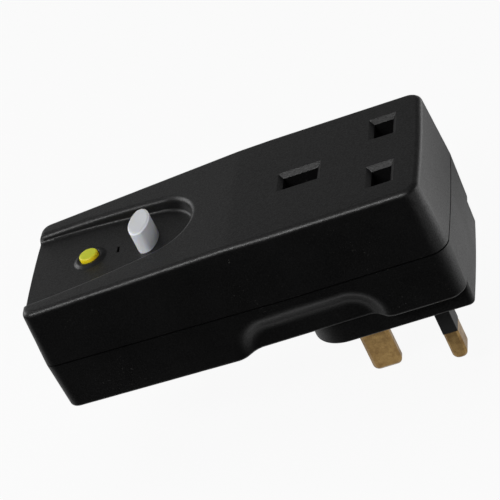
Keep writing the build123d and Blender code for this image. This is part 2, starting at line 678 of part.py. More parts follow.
def clip(gap, width):
    """A folded socket clip about its own centre: a base and two leaves that close to a throat."""
    base = gap / 2 + 1.2
    throat = (gap - CLIP_THROAT + CONTACT_SHEET) / 2
    low = CONTACT_SHEET / 2
    high = CLIP_HEIGHT - CLEARANCE
    half_line = [(base, low), (base, 0.25 * high), (throat, 0.72 * high), (base, high)]
    points = [(-x, z) for x, z in reversed(half_line)] + half_line
    line = Polyline(*points)
    return extrude(Plane.XZ * trace(line, line_width=CONTACT_SHEET), width / 2, both=True)


def line_contact(y):
    """A live or neutral socket contact: a clip with a strap that leaves through the tower wall."""
    body = Pos(LINE_X, y, CLIP_Z) * clip(LINE_PIN[0], LINE_PIN[1] - 1.0)
    _, _, half_x, _ = towers()[1]
    out_x = LINE_X - half_x - TOWER_WALL - CONTACT_SHEET - CLEARANCE
    half = STRIP_WIDTH / 2
    body += block(out_x, LINE_X - 1, y - half, y + half, CLIP_Z, CLIP_Z + CONTACT_SHEET)
    body += block(out_x, out_x + CONTACT_SHEET, y - half, y + half, STRAP_Z, CLIP_Z + CONTACT_SHEET)
    return body


def earth_contact():
    """The earth socket contact: a clip on the pin's long faces, with a strap down to the earth pin's tail."""
    body = Pos(EARTH_X, 0, CLIP_Z) * Rot(0, 0, 90) * clip(EARTH_PIN[1], EARTH_PIN[0] - 1.0)
    half = STRIP_WIDTH / 2
    side_x = EARTH_X + TAIL_THICKNESS / 2
    tail_top = BOSS_FLOOR + PIN_FLANGE + TAIL_LENGTH
    body += block(side_x, side_x + CONTACT_SHEET, -half, half, tail_top - STRAP_LAP, CLIP_Z + CONTACT_SHEET)
    return body


def shutter():
    """The safety shutter: a wing under each line aperture and a ramp under the earth aperture."""
    wing_x = LINE_APERTURE[0] / 2 + SHUTTER_OVERLAP
    wing_y = LINE_APERTURE[1] / 2 + SHUTTER_OVERLAP
    ramp_x = EARTH_X - EARTH_APERTURE[0] / 2 - SHUTTER_OVERLAP
    arm_y = EARTH_APERTURE[1] / 2 + SHUTTER_OVERLAP
    end_x = EARTH_X - EARTH_APERTURE[0] / 2 - SHUTTER_TAIL
    window_y = SCREW_TOWER_RADIUS + CLEARANCE
    window_right = CENTRE_SCREW_X + window_y + SHUTTER_TRAVEL
    bar_y = window_y + SHUTTER_BAR
    body = block(end_x, window_right + SHUTTER_BAR, -bar_y, bar_y, SHUTTER_Z, SHUTTER_TOP)
    for side in (-1, 1):
        low, high = sorted((side * (LINE_Y - wing_y), side * (LINE_Y + wing_y)))
        body += block(LINE_X - wing_x, LINE_X + wing_x, low, high, SHUTTER_Z, SHUTTER_TOP)
        low, high = sorted((side * window_y, side * (LINE_Y - wing_y + 0.1)))
        body += block(LINE_X - wing_x, LINE_X + wing_x / 2, low, high, SHUTTER_Z, SHUTTER_TOP)
    body -= block(ramp_x, window_right, -window_y, window_y, SHUTTER_Z - CUT, SHUTTER_TOP + CUT)
    ramp = [
        (ramp_x - 0.1, SHUTTER_TOP),
        (ramp_x + 1, SHUTTER_TOP),
        (ramp_x + 1 + 0.9 * SHUTTER_TRAVEL, SHUTTER_Z + 0.4),
        (ramp_x + 1 + 0.9 * SHUTTER_TRAVEL, SHUTTER_Z),
        (ramp_x - 0.1, SHUTTER_Z),
    ]
    body += side_prism(ramp, -window_y - 0.1, window_y + 0.1)
    body += block(end_x, end_x + SHUTTER_TAB, -arm_y / 2, arm_y / 2, SHUTTER_Z, CEILING_Z - CLEARANCE)
    return body


def shutter_spring():
    """The spring that holds the shutter closed, between its upright end and the step in the ceiling."""
    end_x = EARTH_X - EARTH_APERTURE[0] / 2 - SHUTTER_TAIL
    length = end_x - STEP_X
    start = (STEP_X, 0, SPRING_Z)
    return coil_spring(SHUTTER_SPRING_RADIUS, length, start, axis=(1, 0, 0), turns=2 * COIL_TURNS)


# Circuit board and what stands on it
def circuit_board():
    """The board, with notches for the screw towers and holes for its screws and the button stem."""
    body = block(BOARD_LEFT_X, BOARD_RIGHT_X, -BOARD_HALF_WIDTH, BOARD_HALF_WIDTH, BOARD_Z, BOARD_TOP)
    notch_x, notch_y = BOARD_NOTCH
    for side in (-1, 1):
        low, high = sorted((side * (BOARD_HALF_WIDTH - notch_y), side * (BOARD_HALF_WIDTH + CUT)))
        body -= block(BOARD_LEFT_X - CUT, BOARD_LEFT_X + notch_x, low, high, BOARD_Z - CUT, BOARD_TOP + CUT)
    for x, y in BOARD_SCREWS:
        body -= rod(x, y, BOARD_Z - CUT, BOARD_TOP + CUT, BOARD_SCREW_RADIUS + CLEARANCE)
    return body


def board_screws():
    """The two screws that hold the board down."""
    shapes = []
    for x, y in BOARD_SCREWS:
        head = rod(x, y, BOARD_TOP, BOARD_TOP + BOARD_SCREW_HEAD, 2 * BOARD_SCREW_RADIUS - CLEARANCE)
        head = fillet(head.edges().group_by(Axis.Z)[-1], BOARD_SCREW_HEAD / 2 - RUNNING)
        shapes.append(head + rod(x, y, FLOOR_Z + 0.3, BOARD_TOP + 0.1, BOARD_SCREW_RADIUS / 2))
    return shapes


def switch_base():
    """The moulded base of the switch, with two guide posts for the contact carrier."""
    x = RESET_X
    body = block(
        x - BASE_HALF_LENGTH, x + BASE_HALF_LENGTH, -BASE_HALF_WIDTH, BASE_HALF_WIDTH, BOARD_TOP, BASE_TOP
    )
    gap_x, gap_y = CORE_HALF_LENGTH + CLEARANCE, CORE_HALF_WIDTH + CLEARANCE
    body -= block(x - gap_x, x + gap_x, -gap_y, gap_y, BOARD_TOP - CUT, BASE_TOP + CUT)
    for post_x, post_y in guide_posts():
        body += rod(post_x, post_y, BASE_TOP - SINK, CARRIER_TOP + 1.4, POST_RADIUS)
    return body


def guide_posts():
    """The places of the two guide posts."""
    reach_x, reach_y = POST_AT
    return [(RESET_X - reach_x, reach_y), (RESET_X + reach_x, -reach_y)]


def magnet_core():
    """The magnet's steel core: a strip with two upturned legs and a round middle leg."""
    x = RESET_X
    left, right = x - CORE_HALF_LENGTH, x + CORE_HALF_LENGTH
    body = block(left, right, -CORE_HALF_WIDTH, CORE_HALF_WIDTH, BOARD_TOP, BOARD_TOP + CORE_LEG)
    for side in (-1, 1):
        low, high = sorted((x + side * CORE_HALF_LENGTH, x + side * (CORE_HALF_LENGTH - CORE_LEG)))
        body += block(low, high, -CORE_HALF_WIDTH, CORE_HALF_WIDTH, BOARD_TOP, POLE_Z)
    return body + rod(x, 0, BOARD_TOP, POLE_Z, CORE_RADIUS)


def bobbin():
    """The bobbin that the holding coil is wound on."""
    low, high = BOARD_TOP + CORE_LEG, POLE_Z - CLEARANCE
    inner = CORE_RADIUS + RUNNING
    body = rod(RESET_X, 0, low, high, inner + BOBBIN_WALL)
    for z in (low, high - BOBBIN_FLANGE):
        body += rod(RESET_X, 0, z, z + BOBBIN_FLANGE, BOBBIN_RADIUS)
    return body - rod(RESET_X, 0, low - CUT, high + CUT, inner)


def holding_coil():
    """The coil's winding, as one body with softly rounded ends."""
    low = BOARD_TOP + CORE_LEG + BOBBIN_FLANGE
    high = POLE_Z - CLEARANCE - BOBBIN_FLANGE
    inner = CORE_RADIUS + RUNNING + BOBBIN_WALL
    body = rod(RESET_X, 0, low, high, COIL_RADIUS)
    body = fillet(body.edges().filter_by(GeomType.CIRCLE), 0.4)
    return body - rod(RESET_X, 0, low - CUT, high + CUT, inner)


def armature():
    """The steel armature under the contact carrier."""
    plate = block(
        RESET_X - CORE_HALF_LENGTH,
        RESET_X + CORE_HALF_LENGTH,
        -CORE_HALF_WIDTH,
        CORE_HALF_WIDTH,
        ARMATURE_Z,
        CARRIER_Z,
    )
    return chamfer(plate.edges().filter_by(Axis.Z), 0.8)


def contact_carrier():
    """The moulded carrier: a plate on two guide posts, an arm over each bridge contact and a spring cup."""
    x = RESET_X
    body = rounded_box(
        x - CARRIER_HALF_LENGTH, x + CARRIER_HALF_LENGTH, -CARRIER_HALF_WIDTH, CARRIER_HALF_WIDTH,
        CARRIER_Z, CARRIER_TOP, 1.5,
    )
    arm_x, arm_y = ARM_HALF_WIDTH, BASE_HALF_WIDTH - ARM_STEP
    body += rounded_box(x - arm_x, x + arm_x, -arm_y, arm_y, CARRIER_Z, CARRIER_TOP, 1.0)
    body -= rod(x, 0, CUP_Z, CARRIER_TOP + CUT, SPRING_RADIUS + WIRE_RADIUS + CLEARANCE)
    for post_x, post_y in guide_posts():
        body -= rod(post_x, post_y, CARRIER_Z - CUT, CARRIER_TOP + CUT, POST_RADIUS + RUNNING)
    for side in (-1, 1):
        body -= rod(x, side * CONTACT_Y, CARRIER_Z - CUT, CARRIER_TOP - 0.8, SPRING_RADIUS)
    return body


def bridge_contact(y):
    """A moving contact: a strip with a rivet at each end, hung under the carrier's arm."""
    reach = CONTACT_HALF_SPAN + RIVET_RADIUS + 0.4
    top = CARRIER_Z
    half = STRIP_WIDTH / 2
    low = top - STRIP_THICKNESS
    strip = rounded_box(RESET_X - reach, RESET_X + reach, y - half, y + half, low, top, half / 2)
    for side in (-1, 1):
        x = RESET_X + side * CONTACT_HALF_SPAN
        strip += rod(x, y, top - STRIP_THICKNESS - RIVET_HEIGHT, top - STRIP_THICKNESS, RIVET_RADIUS)
    return strip


def fixed_contacts(y):
    """The pair of fixed contacts under one bridge: bent strips on the base, each with a rivet."""
    rivet_top = CARRIER_Z - STRIP_THICKNESS - RIVET_HEIGHT - CONTACT_GAP - RESET_TRAVEL
    pad_top = rivet_top - RIVET_HEIGHT
    half = STRIP_WIDTH / 2
    shapes = []
    for side in (-1, 1):
        centre = RESET_X + side * CONTACT_HALF_SPAN
        outer = centre + side * (RIVET_RADIUS + 0.4)
        low, high = sorted((outer, outer - side * STRIP_THICKNESS))
        shape = block(low, high, y - half, y + half, BASE_TOP, pad_top)
        low, high = sorted((outer, centre - side * RIVET_RADIUS))
        shape += block(low, high, y - half, y + half, pad_top - STRIP_THICKNESS, pad_top)
        foot_low, foot_high = sorted((outer, outer + side * 2.2))
        shape += block(foot_low, foot_high, y - half, y + half, BASE_TOP, BASE_TOP + STRIP_THICKNESS)
        shapes.append(shape + rod(centre, y, pad_top, rivet_top, RIVET_RADIUS))
    return shapes


def contact_springs():
    """The two springs that press the bridge contacts, in the carrier's arms."""
    length = CARRIER_TOP - 0.8 - CARRIER_Z
    radius = SPRING_RADIUS - WIRE_RADIUS - RUNNING
    return [coil_spring(radius, length, (RESET_X, side * CONTACT_Y, CARRIER_Z), turns=2) for side in (-1, 1)]


def return_springs():
    """The two springs round the guide posts that lift the carrier."""
    length = CARRIER_Z - BASE_TOP
    radius = POST_RADIUS + WIRE_RADIUS + CLEARANCE
    return [coil_spring(radius, length, (x, y, BASE_TOP)) for x, y in guide_posts()]


def reset_spring():
    """The spring between the reset button and the carrier, round the button's stem."""
    return coil_spring(SPRING_RADIUS, RESET_FLANGE_Z - CUP_Z, (RESET_X, 0, CUP_Z), turns=4)


# Buttons
def reset_button():
    """The reset button: a cap with a soft top edge, a retaining flange and a stem."""
    cap = prism(reset_outline(), FLANGE_TOP, CHANNEL_Z + RESET_PROUD)
    cap = fillet(cap.edges().group_by(Axis.Z)[-1], 0.7)
    flange = prism(reset_outline(FLANGE_REACH), RESET_FLANGE_Z, FLANGE_TOP)
    stem = rod(RESET_X, 0, CUP_Z + CLEARANCE, RESET_FLANGE_Z, STEM_RADIUS)
    return cap + flange + stem


def test_button():
    """The test button: a round cap, a retaining flange and a stem over the test contact."""
    cap = rod(TEST_X, 0, FLANGE_TOP, CHANNEL_Z + TEST_PROUD, TEST_RADIUS)
    cap = fillet(cap.edges().group_by(Axis.Z)[-1], 0.45)
    flange = rod(TEST_X, 0, FLANGE_TOP - FLANGE_THICKNESS, FLANGE_TOP, TEST_RADIUS + FLANGE_REACH)
    return cap + flange + rod(TEST_X, 0, LEAF_Z + CLEARANCE, FLANGE_TOP - FLANGE_THICKNESS, STEM_RADIUS)


def test_leaf():
    """The sprung test contact: a bent strip from the board up and over to the test button's stem."""
    riser = TEST_X - LEAF_REACH
    half = STRIP_WIDTH / 2
    thick = STRIP_THICKNESS
    body = block(riser - LEAF_FOOT, riser + thick, -half, half, BOARD_TOP, BOARD_TOP + thick)
    body += block(riser, riser + thick, -half, half, BOARD_TOP, LEAF_Z)
    body += block(riser, TEST_X + STEM_RADIUS, -half, half, LEAF_Z - thick, LEAF_Z)
    bend = [e for e in body.edges() if abs(e.center().Z - LEAF_Z) < 0.01 and abs(e.center().X - riser) < 0.01]
    return fillet(bend, thick / 2)


def test_post():
    """The fixed post that the test leaf is pressed on to."""
    top = LEAF_Z - STRIP_THICKNESS - TEST_TRAVEL + 2 * CLEARANCE
    return rod(TEST_X, 0, BOARD_TOP, top, TEST_POST_RADIUS)


# Electronics
def transformer_core():
    """The transformer's ring core, coated and rounded."""
    section = Plane.XZ * Pos((RING_RADIUS + RING_BORE) / 2, 0) * RectangleRounded(
        RING_RADIUS - RING_BORE, RING_WIDTH, 1.2
    )
    return Pos(RING_X, 0, RING_Z) * Rot(0, 90, 0) * revolve(section, Axis.Z, 360)


def transformer_winding():
    """The sense winding: a band round part of the ring."""
    middle = Pos((RING_RADIUS + RING_BORE) / 2, 0)
    size = (RING_RADIUS - RING_BORE, RING_WIDTH)
    outer = RectangleRounded(size[0] + 2 * WINDING_BUILD, size[1] + 2 * WINDING_BUILD, 1.2 + WINDING_BUILD)
    inner = RectangleRounded(size[0] + 2 * RUNNING, size[1] + 2 * RUNNING, 1.2 + RUNNING)
    band = Plane.XZ * middle * (outer - inner)
    turned = revolve(band, Axis.Z, WINDING_ANGLE)
    return Pos(RING_X, 0, RING_Z) * Rot(0, 90, 0) * Rot(0, 0, 180 - WINDING_ANGLE / 2) * turned


def varistor():
    """A disc varistor standing on the board."""
    x, y = BOARD_LEFT_X + VARISTOR_PLACE[0], VARISTOR_PLACE[1]
    z = BOARD_TOP + VARISTOR_LIFT
    leg_x, leg_radius = VARISTOR_LEGS
    disc = Pos(x, y, z) * Rot(90, 0, 0) * Cylinder(VARISTOR_RADIUS, VARISTOR_THICKNESS)
    disc = fillet(disc.edges().filter_by(GeomType.CIRCLE), VARISTOR_THICKNESS / 3)
    for side in (-1, 1):
        disc += rod(x + side * leg_x, y, BOARD_TOP, z, leg_radius)
    return disc


def film_capacitor():
    """A boxed film capacitor on the board."""
    x, y = BOARD_LEFT_X + CAPACITOR_PLACE[0], CAPACITOR_PLACE[1]
    length, width, height = CAPACITOR_SIZE
    return rounded_box(
        x - length / 2, x + length / 2, y - width / 2, y + width / 2, BOARD_TOP, BOARD_TOP + height, WALL / 4
    )


def chip_on_board(x, y, size):
    """A moulded package on the underside of the board with rows of feet."""
    length, width, height = size
    low, high = BOARD_Z - height, BOARD_Z - CHIP_STANDOFF
    body = block(x - length / 2, x + length / 2, y - width / 2, y + width / 2, low, high)
    body = chamfer(body.faces().sort_by(Axis.Z)[0].edges(), FOOT_HEIGHT)
    reach = width / 2 + FOOT_REACH
    for foot in range(CHIP_FEET):
        foot_x = x + (foot - (CHIP_FEET - 1) / 2) * length / CHIP_FEET
        left, right = foot_x - FOOT_WIDTH / 2, foot_x + FOOT_WIDTH / 2
        body += block(left, right, y - reach, y + reach, BOARD_Z - FOOT_HEIGHT, BOARD_Z)
    return body


def control_chip():
    """The control chip under the board."""
    return chip_on_board(RESET_X, CHIP_Y, CONTROL_CHIP)


def rectifier():
    """The bridge rectifier under the board."""
    return chip_on_board(RESET_X, -CHIP_Y, RECTIFIER)


def chip_resistors():
    """The row of chip resistors under the board."""
    length, width, height = RESISTOR
    shapes = []
    for n in range(RESISTORS):
        x = RESET_X + (n - (RESISTORS - 1) / 2) * RESISTOR_PITCH
        shapes.append(block(x - length / 2, x + length / 2, -width / 2, width / 2, BOARD_Z - height, BOARD_Z))
    return shapes


def thyristor():
    """The three-legged thyristor that cuts the holding current."""
    x, y = BOARD_LEFT_X + THYRISTOR_PLACE[0], THYRISTOR_PLACE[1]
    radius, height = THYRISTOR_SIZE
    z = BOARD_TOP + THYRISTOR_LIFT
    body = rod(x, y, z, z + height, radius)
    body -= block(x - radius, x + radius, y + THYRISTOR_FLAT, y + radius, z - CUT, z + height + CUT)
    half = FOOT_WIDTH / 2
    for step in (-1, 0, 1):
        leg_x = x + step * THYRISTOR_PITCH
        body += block(leg_x - half, leg_x + half, y - half, y + half, BOARD_TOP, z + SINK)
    return body


# Leads
def supply_lead(side):
    """A lead from a plug pin's tail to the board's edge."""
    tail_x, y, inner_y = LINE_X - TAIL_THICKNESS / 2, side * LINE_Y, side * INNER_LEAD_Y
    board_z = BOARD_TOP + LEAD_RADIUS
    turn_x = LINE_X - SUPPLY_STRAIGHT
    points = [
        (tail_x, y, SUPPLY_Z),
        (turn_x, y, SUPPLY_Z),
        (turn_x - SUPPLY_CROSSING, inner_y, SUPPLY_Z),
        (BOARD_RIGHT_X + RISE_START, inner_y, SUPPLY_Z),
        (BOARD_RIGHT_X + RISE_END, inner_y, board_z),
        (BOARD_RIGHT_X - LEAD_LANDING, inner_y, board_z),
    ]
    return lead(points)


def load_lead(side):
    """A lead from the board, through the transformer, to a socket contact's strap."""
    _, _, half_x, _ = towers()[1]
    strap_x = LINE_X - half_x - TOWER_WALL - CONTACT_SHEET - CLEARANCE
    z = STRAP_Z + LEAD_RADIUS
    through = side * (LEAD_RADIUS + CLEARANCE)
    before, after = LOAD_PASS
    drop_x, drop_y = BOARD_RIGHT_X - LOAD_DROP_IN, side * LOAD_DROP_Y
    points = [
        (strap_x, side * LINE_Y, z),
        (strap_x - LOAD_STRAIGHT, side * LINE_Y, z),
        (EARTH_X + before, side * INNER_LEAD_Y, z),
        (EARTH_X - after, side * INNER_LEAD_Y, z),
        (RING_X + RING_WIDTH / 2 + RISE_END, through, RING_Z),
        (BOARD_RIGHT_X + SINK, through, RING_Z),
        (drop_x, drop_y, RING_Z - LOAD_DROP),
        (drop_x, drop_y, BOARD_TOP),
    ]
    return lead(points)


def housing_screws():
    """The screws that hold the two housings together, put in from the rear."""
    shapes = []
    slot_length, slot_width, slot_depth = SCREW_SLOT
    for x, y in SCREWS:
        tip = PARTING_Z + SCREW_ENGAGEMENT
        head_z = tip - SCREW_LENGTH
        shank = rod(x, y, head_z, tip, SCREW_RADIUS)
        shank = chamfer(shank.edges().group_by(Axis.Z)[-1], 0.7)
        head = rod(x, y, head_z - SCREW_HEAD_HEIGHT, head_z, SCREW_HEAD_RADIUS)
        head = fillet(head.edges().group_by(Axis.Z)[0], 0.8)
        low = head_z - SCREW_HEAD_HEIGHT
        for angle in (0, 90):
            head -= Pos(x, y, low) * Rot(0, 0, angle) * Box(slot_length, slot_width, 2 * slot_depth)
        shapes.append(head + shank)
    return shapes


def save(name, shape):
    """Write one sub-part's STEP file."""
    solids = shape if isinstance(shape, list) else [shape]
    export_step(Compound(children=[s for group in solids for s in group.solids()]), f"parts/{name}.step")


def main():
    """Build every sub-part and write it."""
    os.makedirs("parts", exist_ok=True)
    pieces = {
        "front_housing": front_housing(),
        "rear_housing": rear_housing(),
        "earth_pin": pin(EARTH_X, 0, EARTH_PIN, EARTH_TIP),
        "live_pin": line_pin(-LINE_Y),
        "neutral_pin": line_pin(LINE_Y),
        "live_pin_sleeve": sleeve(-LINE_Y),
        "neutral_pin_sleeve": sleeve(LINE_Y),
        "socket_block": socket_block(),
        "earth_contact": earth_contact(),
        "live_contact": line_contact(-LINE_Y),
        "neutral_contact": line_contact(LINE_Y),
        "shutter": shutter(),
        "shutter_spring": shutter_spring(),
        "circuit_board": circuit_board(),
        "board_screws": board_screws(),
        "switch_base": switch_base(),
        "magnet_core": magnet_core(),
        "coil_bobbin": bobbin(),
        "holding_coil": holding_coil(),
        "armature": armature(),
        "contact_carrier": contact_carrier(),
        "live_bridge_contact": bridge_contact(-CONTACT_Y),
        "neutral_bridge_contact": bridge_contact(CONTACT_Y),
        "live_fixed_contacts": fixed_contacts(-CONTACT_Y),
        "neutral_fixed_contacts": fixed_contacts(CONTACT_Y),
        "contact_springs": contact_springs(),
        "return_springs": return_springs(),
        "reset_spring": reset_spring(),
        "reset_button": reset_button(),
        "test_button": test_button(),
        "test_leaf": test_leaf(),
        "test_post": test_post(),
        "transformer_core": transformer_core(),
        "transformer_winding": transformer_winding(),
        "varistor": varistor(),
        "film_capacitor": film_capacitor(),
        "control_chip": control_chip(),
        "rectifier": rectifier(),
        "chip_resistors": chip_resistors(),
        "thyristor": thyristor(),
        "live_supply_lead": supply_lead(-1),
        "neutral_supply_lead": supply_lead(1),
        "live_load_lead": load_lead(-1),
        "neutral_load_lead": load_lead(1),
        "housing_screws": housing_screws(),
    }
    for name, shape in pieces.items():
        save(name, shape)


main()
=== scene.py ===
"""The looks of a plug-in residual current adapter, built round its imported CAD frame."""

from __future__ import annotations

import json
import logging
from collections.abc import Callable
from dataclasses import dataclass, replace
from enum import Enum
from math import atan2, cos, pi, radians, sin, sqrt

import bpy
from mathutils import Matrix, Vector

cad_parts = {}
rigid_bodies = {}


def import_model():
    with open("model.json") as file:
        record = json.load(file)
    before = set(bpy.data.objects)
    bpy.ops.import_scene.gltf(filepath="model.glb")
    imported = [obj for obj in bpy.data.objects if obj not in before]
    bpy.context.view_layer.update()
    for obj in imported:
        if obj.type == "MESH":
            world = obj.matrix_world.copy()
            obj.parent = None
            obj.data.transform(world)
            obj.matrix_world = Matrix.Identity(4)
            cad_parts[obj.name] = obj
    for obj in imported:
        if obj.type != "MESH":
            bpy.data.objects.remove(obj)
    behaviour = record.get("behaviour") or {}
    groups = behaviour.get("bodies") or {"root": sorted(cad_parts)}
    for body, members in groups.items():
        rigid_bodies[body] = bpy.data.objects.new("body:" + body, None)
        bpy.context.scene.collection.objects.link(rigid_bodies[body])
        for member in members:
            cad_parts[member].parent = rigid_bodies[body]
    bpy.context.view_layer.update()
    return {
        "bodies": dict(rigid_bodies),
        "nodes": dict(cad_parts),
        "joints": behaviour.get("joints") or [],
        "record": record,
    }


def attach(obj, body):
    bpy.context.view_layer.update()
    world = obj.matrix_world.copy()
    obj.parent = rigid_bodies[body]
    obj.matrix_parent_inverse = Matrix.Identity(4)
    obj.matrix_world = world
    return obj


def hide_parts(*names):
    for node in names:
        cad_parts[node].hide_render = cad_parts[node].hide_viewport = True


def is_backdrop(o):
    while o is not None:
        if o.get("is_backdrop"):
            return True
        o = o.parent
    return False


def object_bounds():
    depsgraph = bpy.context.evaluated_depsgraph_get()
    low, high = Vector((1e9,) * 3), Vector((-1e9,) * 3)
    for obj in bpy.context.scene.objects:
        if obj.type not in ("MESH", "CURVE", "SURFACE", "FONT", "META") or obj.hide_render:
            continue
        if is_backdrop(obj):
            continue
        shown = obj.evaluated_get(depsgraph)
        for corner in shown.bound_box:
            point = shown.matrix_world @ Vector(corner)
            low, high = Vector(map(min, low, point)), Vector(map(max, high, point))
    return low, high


Colour = tuple[float, float, float]
Point = tuple[float, float, float]
Outline = Callable[[float], float]
MM = 0.001
LOG = logging.getLogger("adapter")


class Skin(Enum):
    """How a moulding's surface was finished in the tool."""

    SPARKED = "sparked"
    SATIN = "satin"
    GLOSSY = "glossy"


class Drawing(Enum):
    """The way a metal part's fine marks run: how closely they are packed along X, Y and Z."""

    ALONG_PIN = (1.0, 1.0, 0.08)
    ROLLED = (0.15, 1.0, 1.0)
    PLATED = (1.0, 1.0, 1.0)


GRAIN_SIZE = {Skin.SPARKED: 0.42 * MM, Skin.SATIN: 0.45 * MM, Skin.GLOSSY: 0.9 * MM}
GRAIN_DEPTH = {Skin.SPARKED: 0.042 * MM, Skin.SATIN: 0.006 * MM, Skin.GLOSSY: 0.003 * MM}

# The grain heights between which the coat comes in, and the plastics' shared looks
GRAIN_BAND = (0.32, 0.68)
PLAIN_SPECULAR = 0.5
ROUGHNESS_SPREAD = 0.03
SCATTER_RADIUS = (1.0, 0.8, 0.35)
SCATTER_DEPTH = 1.5 * MM
DUST_COLOUR = (0.35, 0.34, 0.32, 1.0)

# The metals' shared looks
POLISH_ROUGHNESS = 0.12
SMUDGE_ROUGHNESS = 0.22

# Shader sockets and ranges
NUMBER_SOCKET = "NodeSocketFloat"
VECTOR_SOCKET = "NodeSocketVector"
WHOLE = (0.0, 1.0)
WHITE = (1.0, 1.0, 1.0, 1.0)

# Meshes: points nearer than this are one, edges shorter than this go, and how far big faces rule the shading
MERGE_DISTANCE = 0.001 * MM
SLIVER = 0.0005 * MM
FACE_WEIGHT = 90

# What the two buttons share: the test button's axis, and the flange and stem that each is held by
TEST_CENTRE = (-71.2 * MM, 0.0)
FLANGE_TOP = 33.0 * MM
FLANGE_THICKNESS = 1.2 * MM
FLANGE_REACH = 1.2 * MM
STEM_RADIUS = 1.8 * MM


@dataclass(frozen=True)
class Pattern:
    """A noise texture's settings, and the band of its values that a mask is stretched from."""

    scale: float
    detail: float
    rough: float = 0.5
    low: float = 0.0
    high: float = 1.0


# The first two scales are per grain size, the others per metre
GRAIN_FINE = Pattern(1.0, 2.0, 0.6)
GRAIN_MOTTLE = Pattern(0.035, 4.0, 0.55, 0.3, 0.7)
DUST_SPECKS = Pattern(2400.0, 1.0, low=0.72, high=0.78)
DUST_PLACES = Pattern(60.0, 2.0, low=0.52, high=0.6)
METAL_SMUDGES = Pattern(420.0, 6.0, 0.72, 0.40, 0.66)
METAL_MARKS = Pattern(5200.0, 2.0)


# Shader node helpers
def add_node(tree: bpy.types.NodeTree, kind: str, **settings: object) -> bpy.types.Node:
    """Add a node and set its plain properties.

    Args:
        tree: The tree that gets the node.
        kind: The node's type name.
        settings: Properties by name.

    Returns:
        The new node.
    """
    made = tree.nodes.new(kind)
    for name, value in settings.items():
        setattr(made, name, value)
    return made


def scaled(colour: Colour, factor: float) -> tuple[float, float, float, float]:
    """Give a colour made lighter or darker, with full alpha.

    Args:
        colour: The colour.
        factor: What each channel is multiplied by; no channel goes over 1.

    Returns:
        The new colour.
    """
    red, green, blue = (min(channel * factor, 1.0) for channel in colour)
    return (red, green, blue, 1.0)


def new_group(
    name: str, inputs: dict[str, str], outputs: list[str]
) -> tuple[bpy.types.NodeTree, bpy.types.Node, bpy.types.Node]:
    """Start a shader node group with named sockets.

    Args:
        name: The group's name.
        inputs: Each input's socket type by its name.
        outputs: The names of the outputs, all plain numbers.

    Returns:
        The group's tree, its input node and its output node.
    """
    tree = bpy.data.node_groups.new(name, "ShaderNodeTree")
    for label, kind in inputs.items():
        tree.interface.new_socket(name=label, in_out="INPUT", socket_type=kind)
    for label in outputs:
        tree.interface.new_socket(name=label, in_out="OUTPUT", socket_type=NUMBER_SOCKET)
    return tree, add_node(tree, "NodeGroupInput"), add_node(tree, "NodeGroupOutput")


def noise(tree: bpy.types.NodeTree, vector: bpy.types.NodeSocket, pattern: Pattern) -> bpy.types.NodeSocket:
    """Add a noise texture that reads a vector.

    Args:
        tree: The tree that gets the node.
        vector: The socket to read the place from.
        pattern: The texture's settings.

    Returns:
        The texture's value as a socket.
    """
    texture = add_node(tree, "ShaderNodeTexNoise")
    texture.inputs["Scale"].default_value = pattern.scale
    texture.inputs["Detail"].default_value = pattern.detail
    texture.inputs["Roughness"].default_value = pattern.rough
    tree.links.new(vector, texture.inputs["Vector"])
    return texture.outputs["Fac"]


def mapped(
    tree: bpy.types.NodeTree, value: bpy.types.NodeSocket, low: float, high: float, out: tuple[float, float]
) -> bpy.types.NodeSocket:
    """Map a number's range to another range, held at its ends.

    Args:
        tree: The tree that gets the node.
        value: The number to map.
        low: The value that gives the first result.
        high: The value that gives the second result.
        out: The two results.

    Returns:
        The mapped number's socket.
    """
    ranger = add_node(tree, "ShaderNodeMapRange")
    ranger.inputs["From Min"].default_value = low
    ranger.inputs["From Max"].default_value = high
    ranger.inputs["To Min"].default_value = out[0]
    ranger.inputs["To Max"].default_value = out[1]
    tree.links.new(value, ranger.inputs["Value"])
    return ranger.outputs["Result"]


def noise_mask(tree: bpy.types.NodeTree, vector: bpy.types.NodeSocket, pattern: Pattern) -> bpy.types.NodeSocket:
    """Add a noise texture and stretch its band to the whole range from 0 to 1.

    Args:
        tree: The tree that gets the nodes.
        vector: The socket to read the place from.
        pattern: The texture's settings and its band.

    Returns:
        The mask's socket.
    """
    return mapped(tree, noise(tree, vector, pattern), pattern.low, pattern.high, WHOLE)


def maths(
    tree: bpy.types.NodeTree, operation: str, first: bpy.types.NodeSocket, second: bpy.types.NodeSocket | float
) -> bpy.types.NodeSocket:
    """Combine two numbers.

    Args:
        tree: The tree that gets the node.
        operation: The name of the operation.
        first: The first number's socket.
        second: The second number, or its socket.

    Returns:
        The result's socket.
    """
    worker = add_node(tree, "ShaderNodeMath", operation=operation)
    tree.links.new(first, worker.inputs[0])
    if isinstance(second, (int, float)):
        worker.inputs[1].default_value = second
    else:
        tree.links.new(second, worker.inputs[1])
    return worker.outputs["Value"]


def blended(
    tree: bpy.types.NodeTree,
    mask: bpy.types.NodeSocket,
    first: bpy.types.NodeSocket | tuple[float, float, float, float],
    second: bpy.types.NodeSocket | tuple[float, float, float, float],
) -> bpy.types.NodeSocket:
    """Mix two colours by a mask.

    Args:
        tree: The tree that gets the node.
        mask: Where the second colour shows.
        first: The colour, or its socket, where the mask is 0.
        second: The colour, or its socket, where the mask is 1.

    Returns:
        The mixed colour's socket.
    """
    mixer = add_node(tree, "ShaderNodeMix", data_type="RGBA")
    tree.links.new(mask, mixer.inputs["Factor"])
    for socket, source in ((mixer.inputs[6], first), (mixer.inputs[7], second)):
        if isinstance(source, tuple):
            socket.default_value = source
        else:
            tree.links.new(source, socket)
    return mixer.outputs[2]


